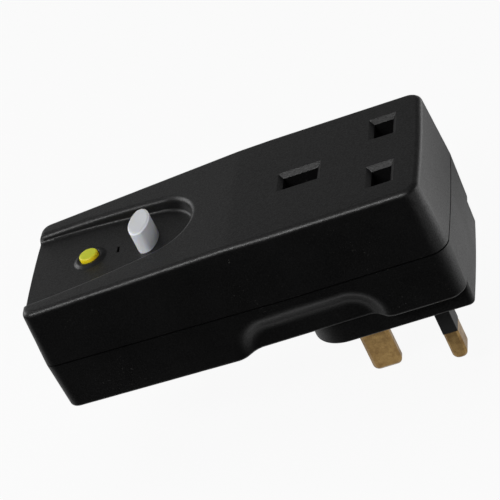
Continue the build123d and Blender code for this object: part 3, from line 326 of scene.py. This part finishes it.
def split_place(tree: bpy.types.NodeTree, coordinates: str = "Object") -> bpy.types.Node:
    """Split a place into its X, Y and Z.

    Args:
        tree: The tree that gets the nodes.
        coordinates: Which of the texture coordinates gives the place.

    Returns:
        The node that has the three as outputs.
    """
    where = add_node(tree, "ShaderNodeTexCoord")
    split = add_node(tree, "ShaderNodeSeparateXYZ")
    tree.links.new(where.outputs[coordinates], split.inputs["Vector"])
    return split


# Shared effects
def grain_group() -> bpy.types.NodeTree:
    """Make the moulded grain: a fine height, and a slow mottle for the plastic's colour and roughness.

    Returns:
        The group, made once and shared.
    """
    known = bpy.data.node_groups.get("moulded_grain")
    if known:
        return known
    wanted = {"Position": VECTOR_SOCKET, "Size": NUMBER_SOCKET}
    tree, entry, leave = new_group("moulded_grain", wanted, ["Height", "Mottle"])
    shrink = add_node(tree, "ShaderNodeVectorMath", operation="SCALE")
    per_size = add_node(tree, "ShaderNodeMath", operation="DIVIDE")
    per_size.inputs[0].default_value = 1.0
    tree.links.new(entry.outputs["Size"], per_size.inputs[1])
    tree.links.new(entry.outputs["Position"], shrink.inputs[0])
    tree.links.new(per_size.outputs["Value"], shrink.inputs["Scale"])
    tree.links.new(noise(tree, shrink.outputs["Vector"], GRAIN_FINE), leave.inputs["Height"])
    tree.links.new(noise_mask(tree, shrink.outputs["Vector"], GRAIN_MOTTLE), leave.inputs["Mottle"])
    return tree


def dust_group() -> bpy.types.NodeTree:
    """Make sparse pale specks that gather in places, as a mask.

    Returns:
        The group, made once and shared.
    """
    known = bpy.data.node_groups.get("dust_specks")
    if known:
        return known
    wanted = {"Position": VECTOR_SOCKET, "Amount": NUMBER_SOCKET}
    tree, entry, leave = new_group("dust_specks", wanted, ["Mask"])
    specks = noise_mask(tree, entry.outputs["Position"], DUST_SPECKS)
    places = noise_mask(tree, entry.outputs["Position"], DUST_PLACES)
    strength = maths(tree, "MULTIPLY", maths(tree, "MULTIPLY", specks, places), entry.outputs["Amount"])
    tree.links.new(strength, leave.inputs["Mask"])
    return tree


def tarnish_group() -> bpy.types.NodeTree:
    """Make a metal's dull smudges, as a mask, and its fine drawn marks, as a height.

    Returns:
        The group, made once and shared.
    """
    known = bpy.data.node_groups.get("metal_tarnish")
    if known:
        return known
    wanted = {"Position": VECTOR_SOCKET, "Marks": VECTOR_SOCKET}
    tree, entry, leave = new_group("metal_tarnish", wanted, ["Smudge", "Height"])
    tree.links.new(noise_mask(tree, entry.outputs["Position"], METAL_SMUDGES), leave.inputs["Smudge"])
    stretch = add_node(tree, "ShaderNodeVectorMath", operation="MULTIPLY")
    tree.links.new(entry.outputs["Position"], stretch.inputs[0])
    tree.links.new(entry.outputs["Marks"], stretch.inputs[1])
    tree.links.new(noise(tree, stretch.outputs["Vector"], METAL_MARKS), leave.inputs["Height"])
    return tree


def placed_group(tree: bpy.types.NodeTree, group: bpy.types.NodeTree) -> bpy.types.Node:
    """Place a group in a material and give it the surface's own position.

    Args:
        tree: The material's tree.
        group: The group to place.

    Returns:
        The group's node.
    """
    where = add_node(tree, "ShaderNodeTexCoord")
    use = add_node(tree, "ShaderNodeGroup", node_tree=group)
    tree.links.new(where.outputs["Object"], use.inputs["Position"])
    return use


def surface_bump(
    tree: bpy.types.NodeTree, height: bpy.types.NodeSocket, depth: float, shader: bpy.types.Node
) -> None:
    """Raise a shader's surface by a height.

    Args:
        tree: The material's tree.
        height: The height's socket, from 0 to 1.
        depth: The full height in metres.
        shader: The shader whose normal it sets.
    """
    bump = add_node(tree, "ShaderNodeBump")
    bump.inputs["Strength"].default_value = 1.0
    bump.inputs["Distance"].default_value = depth
    tree.links.new(height, bump.inputs["Height"])
    tree.links.new(bump.outputs["Normal"], shader.inputs["Normal"])


@dataclass(frozen=True)
class WeldLine:
    """The faint line where the plastic's flow met, along the middle of the channel."""

    start: float = -84.0 * MM
    end: float = -44.0 * MM
    half_width: float = 0.16 * MM
    strength: float = 0.6
    lightening: float = 1.9

    def mask(self, tree: bpy.types.NodeTree) -> bpy.types.NodeSocket:
        """Give the line's mask as a socket.

        Args:
            tree: The material's tree.

        Returns:
            A number that is 1 on the line and falls to 0 at its half width.
        """
        place = split_place(tree)
        offset = maths(tree, "ABSOLUTE", place.outputs["Y"], 0.0)
        across = mapped(tree, offset, 0.0, self.half_width, (1.0, 0.0))
        after = maths(tree, "GREATER_THAN", place.outputs["X"], self.start)
        before = maths(tree, "LESS_THAN", place.outputs["X"], self.end)
        return maths(tree, "MULTIPLY", across, maths(tree, "MULTIPLY", after, before))


@dataclass(frozen=True)
class PaintedSideLight:
    """Painted light on a button's sides: a lighter colour than the top's, deeper on the yellow button, which gives
    way to the top's between two heights.
    """

    colour: Colour
    low: float
    high: float


@dataclass(frozen=True)
class Plastic:
    """A moulded plastic's finish."""

    slot: str
    colour: Colour
    roughness: float
    skin: Skin
    mottle: float
    dust: float = 0.0
    translucency: float = 0.0
    # Painted light on a button's sides, where it has any
    painted_sides: PaintedSideLight | None = None
    speckle: float = 0.0
    weld: WeldLine | None = None

    def material(self) -> bpy.types.Material:
        """Build the finish as a node material.

        Returns:
            The material, named after its slot, and told apart when it has a weld line.
        """
        made = bpy.data.materials.new(self.slot if self.weld is None else f"{self.slot}_welded")
        made.use_nodes = True
        tree = made.node_tree
        shader = tree.nodes["Principled BSDF"]
        shader.inputs["Subsurface Weight"].default_value = self.translucency
        shader.inputs["Subsurface Radius"].default_value = SCATTER_RADIUS
        shader.inputs["Subsurface Scale"].default_value = SCATTER_DEPTH
        grain = placed_group(tree, grain_group())
        grain.inputs["Size"].default_value = GRAIN_SIZE[self.skin]
        mottle = grain.outputs["Mottle"]
        colour = blended(tree, mottle, scaled(self.colour, 1 - self.mottle), scaled(self.colour, 1 + self.mottle))
        height = grain.outputs["Height"]
        if self.speckle:
            gloss = mapped(tree, height, *GRAIN_BAND, (0.0, 2 * self.speckle))
            tree.links.new(gloss, shader.inputs["Coat Weight"])
            shader.inputs["Coat Roughness"].default_value = self.roughness
            shader.inputs["Specular IOR Level"].default_value = PLAIN_SPECULAR - self.speckle
        # Painted light: below a height the button's sides take a lighter colour than its top, standing in for light
        # falling on them and glowing through them
        if self.painted_sides:
            place = split_place(tree)
            upper = mapped(tree, place.outputs["Z"], self.painted_sides.low, self.painted_sides.high, WHOLE)
            colour = blended(tree, upper, (*self.painted_sides.colour, 1.0), colour)
        if self.dust:
            dust = placed_group(tree, dust_group())
            dust.inputs["Amount"].default_value = self.dust
            colour = blended(tree, dust.outputs["Mask"], colour, DUST_COLOUR)
        if self.weld:
            line = maths(tree, "MULTIPLY", self.weld.mask(tree), self.weld.strength)
            colour = blended(tree, line, colour, scaled(self.colour, self.weld.lightening))
        tree.links.new(colour, shader.inputs["Base Color"])
        spread = (self.roughness - ROUGHNESS_SPREAD, self.roughness + ROUGHNESS_SPREAD)
        tree.links.new(mapped(tree, mottle, *WHOLE, spread), shader.inputs["Roughness"])
        surface_bump(tree, height, GRAIN_DEPTH[self.skin], shader)
        return made


@dataclass(frozen=True)
class Metal:
    """A metal part's finish."""

    slot: str
    colour: Colour
    dull: Colour
    roughness: float
    drawing: Drawing
    depth: float = 0.004 * MM
    polish: float = 0.0

    def material(self) -> bpy.types.Material:
        """Build the finish as a node material.

        Returns:
            The material, named after its slot.
        """
        made = bpy.data.materials.new(self.slot)
        made.use_nodes = True
        tree = made.node_tree
        shader = tree.nodes["Principled BSDF"]
        shader.inputs["Metallic"].default_value = 1.0
        shader.inputs["Coat Weight"].default_value = self.polish
        shader.inputs["Coat Roughness"].default_value = POLISH_ROUGHNESS
        tarnish = placed_group(tree, tarnish_group())
        tarnish.inputs["Marks"].default_value = self.drawing.value
        smudge = tarnish.outputs["Smudge"]
        colour = blended(tree, smudge, (*self.colour, 1.0), (*self.dull, 1.0))
        tree.links.new(colour, shader.inputs["Base Color"])
        spread = (self.roughness, self.roughness + SMUDGE_ROUGHNESS)
        tree.links.new(mapped(tree, smudge, *WHOLE, spread), shader.inputs["Roughness"])
        surface_bump(tree, tarnish.outputs["Height"], self.depth, shader)
        return made


BLACK = (0.0034, 0.0034, 0.0035)
STEEL = (0.56, 0.56, 0.57)
DULL_STEEL = (0.36, 0.35, 0.34)
BRASS = (0.78, 0.55, 0.26)
DULL_BRASS = (0.52, 0.35, 0.16)
PIN_BRASS = (0.56, 0.355, 0.13)
DULL_PIN = (0.34, 0.195, 0.065)
# Painted light on the buttons' sides: a lighter, deeper yellow and a lighter, bluish grey than the tops, with the
# heights where each gives way to the top's colour
YELLOW_PAINTED_SIDES = PaintedSideLight((0.95, 0.74, 0.015), 36.5 * MM, 37.05 * MM)
GREY_PAINTED_SIDES = PaintedSideLight((0.84, 0.86, 0.92), 41.2 * MM, 41.6 * MM)
CASE_BLACK = Plastic("housing_black", BLACK, 0.38, Skin.SPARKED, 0.10, 0.12, speckle=0.20)
FINISHES: tuple[Plastic | Metal, ...] = (
    CASE_BLACK,
    Plastic("button_yellow", (0.43, 0.46, 0.018), 0.42, Skin.SATIN, 0.03, 0.0, 0.3, YELLOW_PAINTED_SIDES),
    Plastic("button_grey", (0.53, 0.54, 0.56), 0.40, Skin.SATIN, 0.03, 0.0, 0.3, GREY_PAINTED_SIDES),
    Metal("pin_brass", PIN_BRASS, DULL_PIN, 0.26, Drawing.ALONG_PIN, polish=0.35),
    Plastic("sleeve_black", (0.005, 0.005, 0.005), 0.40, Skin.SATIN, 0.05),
    Plastic("block_cream", (0.62, 0.58, 0.48), 0.5, Skin.SATIN, 0.04),
    Metal("contact_brass", BRASS, DULL_BRASS, 0.28, Drawing.ROLLED),
    Plastic("shutter_black", (0.030, 0.030, 0.032), 0.5, Skin.SATIN, 0.05),
    Metal("spring_steel", STEEL, DULL_STEEL, 0.25, Drawing.PLATED, 0.001 * MM),
    Plastic("board_green", (0.03, 0.18, 0.07), 0.3, Skin.GLOSSY, 0.12),
    Metal("screw_steel", STEEL, DULL_STEEL, 0.3, Drawing.PLATED),
    Plastic("switch_black", (0.05, 0.05, 0.055), 0.5, Skin.SATIN, 0.05),
    Metal("core_steel", (0.46, 0.46, 0.47), DULL_STEEL, 0.35, Drawing.ROLLED),
    Plastic("bobbin_white", (0.66, 0.66, 0.62), 0.5, Skin.SATIN, 0.03),
    Metal("coil_copper", (0.62, 0.27, 0.13), (0.40, 0.15, 0.07), 0.3, Drawing.ALONG_PIN),
    Plastic("carrier_red", (0.40, 0.05, 0.04), 0.45, Skin.SATIN, 0.05),
    Plastic("ring_blue", (0.04, 0.09, 0.25), 0.4, Skin.GLOSSY, 0.10),
    Plastic("varistor_blue", (0.04, 0.14, 0.36), 0.25, Skin.GLOSSY, 0.08),
    Plastic("capacitor_yellow", (0.60, 0.45, 0.08), 0.3, Skin.GLOSSY, 0.04),
    Plastic("package_black", (0.03, 0.03, 0.03), 0.5, Skin.SATIN, 0.05),
    Plastic("lead_brown", (0.17, 0.07, 0.03), 0.45, Skin.SATIN, 0.05),
    Plastic("lead_blue", (0.03, 0.12, 0.42), 0.45, Skin.SATIN, 0.05),
)


class Finishes:
    """All the materials, kept by their slot."""

    def __init__(self) -> None:
        """Build every finish once."""
        self.by_slot = {finish.slot: finish.material() for finish in FINISHES}
        self.welded = replace(CASE_BLACK, weld=WeldLine()).material()

    def dress(self, piece: bpy.types.Object, slot: str) -> None:
        """Give a piece one slot's material.

        Args:
            piece: The object to dress.
            slot: The material slot's name in the record.
        """
        piece.data.materials.clear()
        piece.data.materials.append(self.by_slot[slot])

    def dress_nodes(self, frame: dict) -> None:
        """Give every CAD node the material of its slot in the record.

        Args:
            frame: The loaded frame.
        """
        for part in frame["record"]["subparts"]:
            node = frame["nodes"][part["node"]]
            slot = part["material_slot"]
            for index in range(len(node.material_slots)):
                node.material_slots[index].material = self.by_slot[slot]
            LOG.info("%s dressed in %s", part["node"], slot)


# Modelling helpers
def only(piece: bpy.types.Object) -> None:
    """Select one object alone and make it active.

    Args:
        piece: The object.
    """
    bpy.ops.object.select_all(action="DESELECT")
    piece.select_set(True)
    bpy.context.view_layer.objects.active = piece


def stacked(
    name: str, centre: tuple[float, float], rings: list[tuple[float, Outline]], sides: int, hollow: bool = False
) -> bpy.types.Object:
    """Model a piece by extruding a circle ring by ring, each ring with a height and a plan of its own.

    Args:
        name: The object's name.
        centre: The axis's X and Y.
        rings: Each ring's height, and the reach of its plan for each angle about the axis.
        sides: The number of points in a ring.
        hollow: Whether the last ring joins the first, as round a hole, or both ends are closed.

    Returns:
        The new object.
    """
    bpy.ops.object.select_all(action="DESELECT")
    bpy.ops.mesh.primitive_circle_add(vertices=sides, radius=MM, location=(*centre, rings[0][0]))
    made = bpy.context.active_object
    made.name = name
    bpy.ops.object.transform_apply(location=True, rotation=True, scale=True)
    only(made)
    bpy.ops.object.mode_set(mode="EDIT")
    bpy.ops.mesh.select_all(action="SELECT")
    bpy.ops.object.mode_set(mode="OBJECT")
    for index, (height, outline) in enumerate([*rings, rings[0]] if hollow else rings):
        if index:
            bpy.ops.object.mode_set(mode="EDIT")
            bpy.ops.mesh.extrude_region_move()
            bpy.ops.object.mode_set(mode="OBJECT")
        for vertex in made.data.vertices:
            if vertex.select:
                angle = atan2(vertex.co.y - centre[1], vertex.co.x - centre[0])
                reach = outline(angle)
                vertex.co = (centre[0] + reach * cos(angle), centre[1] + reach * sin(angle), height)
    if not hollow:
        bpy.ops.object.mode_set(mode="EDIT")
        bpy.ops.mesh.select_all(action="SELECT")
        bpy.ops.mesh.fill_holes(sides=0)
        bpy.ops.object.mode_set(mode="OBJECT")
    return made


def disc(radius: float) -> Outline:
    """Give a round plan.

    Args:
        radius: Its reach, the same for every angle.

    Returns:
        The plan's reach for each angle.
    """
    return lambda angle: radius


def stem_and_flange(foot: float, flange: Outline) -> list[tuple[float, Outline]]:
    """Give the rings of a button's stem and of the flange that holds it under the housing.

    Args:
        foot: The height of the stem's foot.
        flange: The flange's plan.

    Returns:
        The rings from the foot to the top of the flange.
    """
    low = FLANGE_TOP - FLANGE_THICKNESS
    return [(foot, disc(STEM_RADIUS)), (low, disc(STEM_RADIUS)), (low, flange), (FLANGE_TOP, flange)]


def settled(piece: bpy.types.Object, crease: float) -> None:
    """Apply a piece's place, tidy its mesh and give it clean shading.

    Args:
        piece: The finished object.
        crease: The angle, in degrees, over which an edge stays sharp.
    """
    only(piece)
    bpy.ops.object.transform_apply(location=True, rotation=True, scale=True)
    bpy.ops.object.mode_set(mode="EDIT")
    bpy.ops.mesh.select_all(action="SELECT")
    bpy.ops.mesh.remove_doubles(threshold=MERGE_DISTANCE)
    bpy.ops.mesh.normals_make_consistent(inside=False)
    bpy.ops.object.mode_set(mode="OBJECT")
    smooth_shading(piece, crease)


def smooth_shading(piece: bpy.types.Object, crease: float) -> None:
    """Shade a piece smooth up to an angle, with flat faces kept flat.

    Args:
        piece: The object to shade.
        crease: The angle, in degrees, over which an edge stays sharp.
    """
    only(piece)
    bpy.ops.object.shade_smooth_by_angle(angle=radians(crease))
    weighted = piece.modifiers.new("weighted", "WEIGHTED_NORMAL")
    weighted.keep_sharp = True
    weighted.weight = FACE_WEIGHT
    bpy.ops.object.modifier_apply(modifier=weighted.name)


@dataclass
class MouldedCopy:
    """A CAD node's own surface, merged and cleanly shaded, which stands for the node."""

    node: str
    name: str
    body: str
    slot: str
    crease: float = 28.0

    def build(self, frame: dict, finishes: Finishes) -> bpy.types.Object:
        """Copy the node, merge its triangles, shade it and dress it.

        Args:
            frame: The loaded frame.
            finishes: The materials.

        Returns:
            The new piece.
        """
        source = frame["nodes"][self.node]
        piece = bpy.data.objects.new(self.name, source.data.copy())
        bpy.context.scene.collection.objects.link(piece)
        only(piece)
        if piece.data.has_custom_normals:
            bpy.ops.mesh.customdata_custom_splitnormals_clear()
        bpy.ops.object.mode_set(mode="EDIT")
        bpy.ops.mesh.select_all(action="SELECT")
        bpy.ops.mesh.remove_doubles(threshold=MERGE_DISTANCE)
        bpy.ops.mesh.dissolve_degenerate(threshold=SLIVER)
        bpy.ops.object.mode_set(mode="OBJECT")
        smooth_shading(piece, self.crease)
        finishes.dress(piece, self.slot)
        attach(piece, self.body)
        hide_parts(self.node)
        LOG.info("%s made from %s, %d faces", self.name, self.node, len(piece.data.polygons))
        return piece


@dataclass
class ResetCap:
    """The reset button: a lens-shaped cap with blunt ends and a soft chamfered rim, on a flange and a stem."""

    centre: tuple[float, float] = (-54.8 * MM, 0.0)
    half_length: float = 5.82 * MM
    half_width: float = 2.98 * MM
    end_half_width: float = 1.10 * MM
    corner_sharpness: float = 19.0
    top: float = 41.7 * MM
    rim: float = 0.60 * MM
    rim_drop: float = 0.40 * MM
    rim_softness: float = 0.17 * MM
    stem_foot: float = 28.6 * MM
    sides: int = 224
    crease: float = 55.0

    def lens(self, extra: float) -> Outline:
        """Give the plan where two wide arcs and the arcs of the ends meet, with its corners softened.

        Args:
            extra: How far the plan is grown all round.

        Returns:
            The plan's reach for each angle.
        """
        sagitta = self.half_width - self.end_half_width
        radius = (self.half_length**2 + sagitta**2) / (2 * sagitta)
        shift = radius - self.half_width
        power = self.corner_sharpness

        def reach(angle: float) -> float:
            """Give the soft minimum of the reaches to the side's arc and to the end's arc."""
            side_reach = sqrt((radius + extra) ** 2 - (shift * sin(angle)) ** 2) - shift * abs(cos(angle))
            reaches = (side_reach, self.half_length + extra)
            return sum(value**-power for value in reaches) ** (-1 / power)

        return reach

    def build(self, finishes: Finishes) -> None:
        """Model the whole button and dress it.

        Args:
            finishes: The materials.
        """
        soft, rim, top = self.rim_softness, self.rim, self.top
        shoulder = top - self.rim_drop
        # The side, then the rim's chamfer with both its edges rounded in two steps
        rings = stem_and_flange(self.stem_foot, self.lens(FLANGE_REACH)) + [
            (FLANGE_TOP, self.lens(0.0)),
            (shoulder - soft, self.lens(0.0)),
            (shoulder - soft / 4, self.lens(-soft / 4)),
            (shoulder + soft / 4, self.lens(-soft)),
            (top - soft / 3, self.lens(soft - rim)),
            (top - soft / 12, self.lens(-rim)),
            (top, self.lens(-rim - soft)),
        ]
        cap = stacked("reset_cap", self.centre, rings, self.sides)
        settled(cap, self.crease)
        finishes.dress(cap, "button_grey")
        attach(cap, "reset")
        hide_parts("reset_button")
        LOG.info("%s modelled, %d faces", cap.name, len(cap.data.polygons))


@dataclass
class TestCap:
    """The test button: a round cap with a well rounded edge and a slight dome, on a flange and a stem."""

    centre: tuple[float, float] = TEST_CENTRE
    radius: float = 2.6 * MM
    top: float = 37.1 * MM
    edge: float = 0.55 * MM
    dome: float = 0.06 * MM
    steps: int = 6
    stem_foot: float = 27.0 * MM
    sides: int = 128
    crease: float = 30.0

    def build(self, finishes: Finishes) -> None:
        """Model the whole button and dress it.

        Args:
            finishes: The materials.
        """
        rings = stem_and_flange(self.stem_foot, disc(self.radius + FLANGE_REACH))
        rings.append((FLANGE_TOP, disc(self.radius)))
        for step in range(self.steps + 1):
            turn = pi / 2 * step / self.steps
            height = self.top - self.dome - self.edge * (1 - sin(turn))
            rings.append((height, disc(self.radius - self.edge * (1 - cos(turn)))))
        flat = self.radius - self.edge
        for step in range(1, self.steps):
            share = 1 - step / self.steps
            rings.append((self.top - self.dome * share**2, disc(flat * share)))
        cap = stacked("test_cap", self.centre, rings, self.sides)
        settled(cap, self.crease)
        finishes.dress(cap, "button_yellow")
        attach(cap, "test")
        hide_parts("test_button")
        LOG.info("%s modelled, %d faces", cap.name, len(cap.data.polygons))


@dataclass
class TestCollar:
    """The low, soft-sided collar moulded round the test button."""

    centre: tuple[float, float] = TEST_CENTRE
    floor: float = 35.4 * MM
    bore: float = 2.86 * MM
    crest_radius: float = 3.4 * MM
    foot_radius: float = 4.8 * MM
    height: float = 0.6 * MM
    lip: float = 0.12 * MM
    depth: float = 0.5 * MM
    steps: int = 10
    sides: int = 128
    crease: float = 50.0

    def build(self, finishes: Finishes) -> None:
        """Model the collar from its bore over its crest to its foot, and dress it.

        Args:
            finishes: The materials.
        """
        crest = self.floor + self.height
        rings = [
            (self.floor - self.depth, disc(self.bore)),
            (crest - self.lip, disc(self.bore)),
            (crest, disc(self.bore + self.lip)),
        ]
        for step in range(self.steps + 1):
            share = step / self.steps
            radius = self.crest_radius + (self.foot_radius - self.crest_radius) * share
            rings.append((self.floor + self.height * (1 + cos(pi * share)) / 2, disc(radius)))
        rings.append((self.floor - self.depth, disc(self.foot_radius)))
        collar = stacked("test_collar", self.centre, rings, self.sides, hollow=True)
        settled(collar, self.crease)
        finishes.dress(collar, "housing_black")
        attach(collar, "adapter")
        LOG.info("%s modelled, %d faces", collar.name, len(collar.data.polygons))


@dataclass(frozen=True)
class PhotoCamera:
    """The camera that stands where the photograph was taken; its axes are those of the picture."""

    place: Point = (160.14 * MM, -575.49 * MM, 368.19 * MM)
    right: Point = (0.916923, 0.069750, -0.392921)
    down: Point = (-0.289621, -0.561057, -0.775458)
    ahead: Point = (-0.274539, 0.824834, -0.494245)
    focal_pixels: float = 2723.13
    picture_pixels: float = 500.0
    sensor: float = 36.0
    near_clip: float = 0.01

    def build(self) -> None:
        """Make the camera and set it as the scene's."""
        lens = bpy.data.cameras.new("photo_camera")
        lens.sensor_width = self.sensor
        lens.lens = self.sensor * self.focal_pixels / self.picture_pixels
        lens.clip_start = self.near_clip
        camera = bpy.data.objects.new("photo_camera", lens)
        columns = (Vector(self.right), -Vector(self.down), -Vector(self.ahead))
        turn = Matrix(columns).transposed().to_4x4()
        camera.matrix_world = Matrix.Translation(self.place) @ turn
        bpy.context.scene.collection.objects.link(camera)
        bpy.context.scene.camera = camera


@dataclass(frozen=True)
class SoftLamp:
    """One soft rectangular white lamp that points at the adapter, and may be left out of reflections."""

    name: str
    place: Point
    size: tuple[float, float]
    power: float
    mirrored: bool = True
    target: Point = (-0.03, 0.0, 0.02)

    def build(self) -> None:
        """Make the lamp and turn it to its target."""
        light = bpy.data.lights.new(self.name, "AREA")
        light.shape = "RECTANGLE"
        light.size, light.size_y = self.size
        light.energy = self.power
        lamp = bpy.data.objects.new(self.name, light)
        lamp.location = self.place
        aim = Vector(self.target) - Vector(self.place)
        lamp.rotation_euler = aim.to_track_quat("-Z", "Y").to_euler()
        lamp.visible_glossy = self.mirrored
        bpy.context.scene.collection.objects.link(lamp)


LAMPS: tuple[SoftLamp, ...] = (
    SoftLamp("overhead_lamp", (-0.10, 0.10, 0.85), (0.90, 0.80), 3.0, False),
    SoftLamp("front_strip", (-0.25, -0.52, 0.55), (0.60, 0.16), 3.8),
    SoftLamp("left_lamp", (-0.70, 0.28, 0.33), (0.45, 0.35), 1.6),
    SoftLamp("side_lamp", (0.75, 0.10, 0.10), (0.40, 0.40), 1.3),
)


@dataclass(frozen=True)
class Studio:
    """The plain pale floor, the white surroundings and the lamps.

    The pairs that end in edge, front or left, and horizon, back and zenith, say where a brightness changes. The pairs
    that end in shine, glow or gain say how bright it is at those two places. The floor's count in reflections, and
    the surroundings' in all light that reaches the part. To the camera anything under 1 is raised to 1, so the band
    at the right of the floor, which is over 1, shows to it as a slightly whiter white.
    """

    floor_gap: float = 0.0002
    floor_half: float = 9.0
    floor_colour: Colour = (0.42, 0.42, 0.42)
    floor_roughness: float = 0.9
    seen_white: float = 0.93
    ambient: float = 0.045
    horizon: tuple[float, float] = (0.02, 0.35)
    horizon_glow: tuple[float, float] = (0.34, 0.085)
    back: tuple[float, float] = (0.0, 0.6)
    zenith: tuple[float, float] = (0.72, 0.97)
    zenith_glow: float = 0.22
    left: tuple[float, float] = (-0.50, -0.21)
    left_gain: tuple[float, float] = (2.4, 1.0)
    front_edge: tuple[float, float] = (-0.046, -0.020)
    front_shine: tuple[float, float] = (0.02, 0.46)
    back_edge: tuple[float, float] = (0.05, 0.09)
    back_shine: tuple[float, float] = (0.46, 0.18)
    right_edge: tuple[float, float] = (0.066, 0.084)
    right_front: tuple[float, float] = (-0.035, 0.0)
    right_shine: tuple[float, float] = (0.6, 1.2)

    def build(self) -> None:
        """Make the floor, the world and the lamps."""
        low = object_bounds()[0][2] - self.floor_gap
        bpy.ops.object.select_all(action="DESELECT")
        bpy.ops.mesh.primitive_plane_add(size=2 * self.floor_half, location=(0.0, 0.0, low))
        floor = bpy.context.active_object
        floor.name = "studio_floor"
        bpy.ops.object.transform_apply(location=True, rotation=True, scale=True)
        floor.data.materials.append(self.floor_material())
        floor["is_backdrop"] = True
        self.set_world()
        for lamp in LAMPS:
            lamp.build()

    def floor_material(self) -> bpy.types.Material:
        """Build the floor's finish: pale, near white to the camera, and by place brighter or darker in reflections.

        Returns:
            The material.
        """
        made = bpy.data.materials.new("pale_floor")
        made.use_nodes = True
        tree = made.node_tree
        shader = tree.nodes["Principled BSDF"]
        shader.inputs["Base Color"].default_value = (*self.floor_colour, 1.0)
        shader.inputs["Roughness"].default_value = self.floor_roughness
        rays = add_node(tree, "ShaderNodeLightPath")
        place = split_place(tree)
        rise = mapped(tree, place.outputs["Y"], *self.front_edge, self.front_shine)
        fall = mapped(tree, place.outputs["Y"], *self.back_edge, self.back_shine)
        beside = mapped(tree, place.outputs["X"], *self.right_edge, WHOLE)
        right = mapped(tree, place.outputs["Y"], *self.right_front, self.right_shine)
        shine = maths(tree, "ADD", maths(tree, "MINIMUM", rise, fall), maths(tree, "MULTIPLY", beside, right))
        seen = maths(tree, "MULTIPLY", rays.outputs["Is Camera Ray"], self.seen_white)
        share = maths(tree, "ADD", seen, rays.outputs["Is Glossy Ray"])
        glow = add_node(tree, "ShaderNodeEmission")
        strength = maths(tree, "MAXIMUM", rays.outputs["Is Camera Ray"], shine)
        tree.links.new(strength, glow.inputs["Strength"])
        mixer = add_node(tree, "ShaderNodeMixShader")
        tree.links.new(share, mixer.inputs["Fac"])
        tree.links.new(shader.outputs["BSDF"], mixer.inputs[1])
        tree.links.new(glow.outputs["Emission"], mixer.inputs[2])
        tree.links.new(mixer.outputs["Shader"], tree.nodes["Material Output"].inputs["Surface"])
        return made

    def set_world(self) -> None:
        """Set surroundings that are white to the camera, and to everything else dim and brighter by direction."""
        world = bpy.data.worlds.new("surroundings")
        bpy.context.scene.world = world
        world.use_nodes = True
        tree = world.node_tree
        rays = add_node(tree, "ShaderNodeLightPath")
        way = split_place(tree, "Generated")
        low = mapped(tree, way.outputs["Z"], *self.horizon, self.horizon_glow)
        back = mapped(tree, way.outputs["Y"], *self.back, WHOLE)
        high = mapped(tree, way.outputs["Z"], *self.zenith, (self.ambient, self.ambient + self.zenith_glow))
        dim = maths(tree, "ADD", maths(tree, "MULTIPLY", low, back), high)
        left = mapped(tree, way.outputs["X"], *self.left, self.left_gain)
        dim = maths(tree, "MULTIPLY", dim, left)
        strength = maths(tree, "MAXIMUM", rays.outputs["Is Camera Ray"], dim)
        tree.links.new(strength, tree.nodes["Background"].inputs["Strength"])
        tree.nodes["Background"].inputs["Color"].default_value = WHITE


COPIES: tuple[MouldedCopy, ...] = (
    MouldedCopy("rear_housing", "rear_shell", "adapter", "housing_black"),
    MouldedCopy("earth_pin", "earth_blade", "adapter", "pin_brass"),
    MouldedCopy("live_pin", "live_blade", "adapter", "pin_brass"),
    MouldedCopy("neutral_pin", "neutral_blade", "adapter", "pin_brass"),
    MouldedCopy("live_pin_sleeve", "live_sleeve", "adapter", "sleeve_black"),
    MouldedCopy("neutral_pin_sleeve", "neutral_sleeve", "adapter", "sleeve_black"),
    MouldedCopy("housing_screws", "case_screws", "adapter", "screw_steel"),
)


def main() -> None:
    """Build the looks round the frame."""
    logging.basicConfig(level=logging.INFO, format="%(name)s: %(message)s")
    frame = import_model()
    PhotoCamera().build()
    finishes = Finishes()
    finishes.dress_nodes(frame)
    front = MouldedCopy("front_housing", "front_shell", "adapter", "housing_black").build(frame, finishes)
    front.data.materials[0] = finishes.welded
    for copy in COPIES:
        copy.build(frame, finishes)
    ResetCap().build(finishes)
    TestCap().build(finishes)
    TestCollar().build(finishes)
    Studio().build()
    bpy.context.scene.view_settings.view_transform = "Standard"


if __name__ == "__main__":
    main()
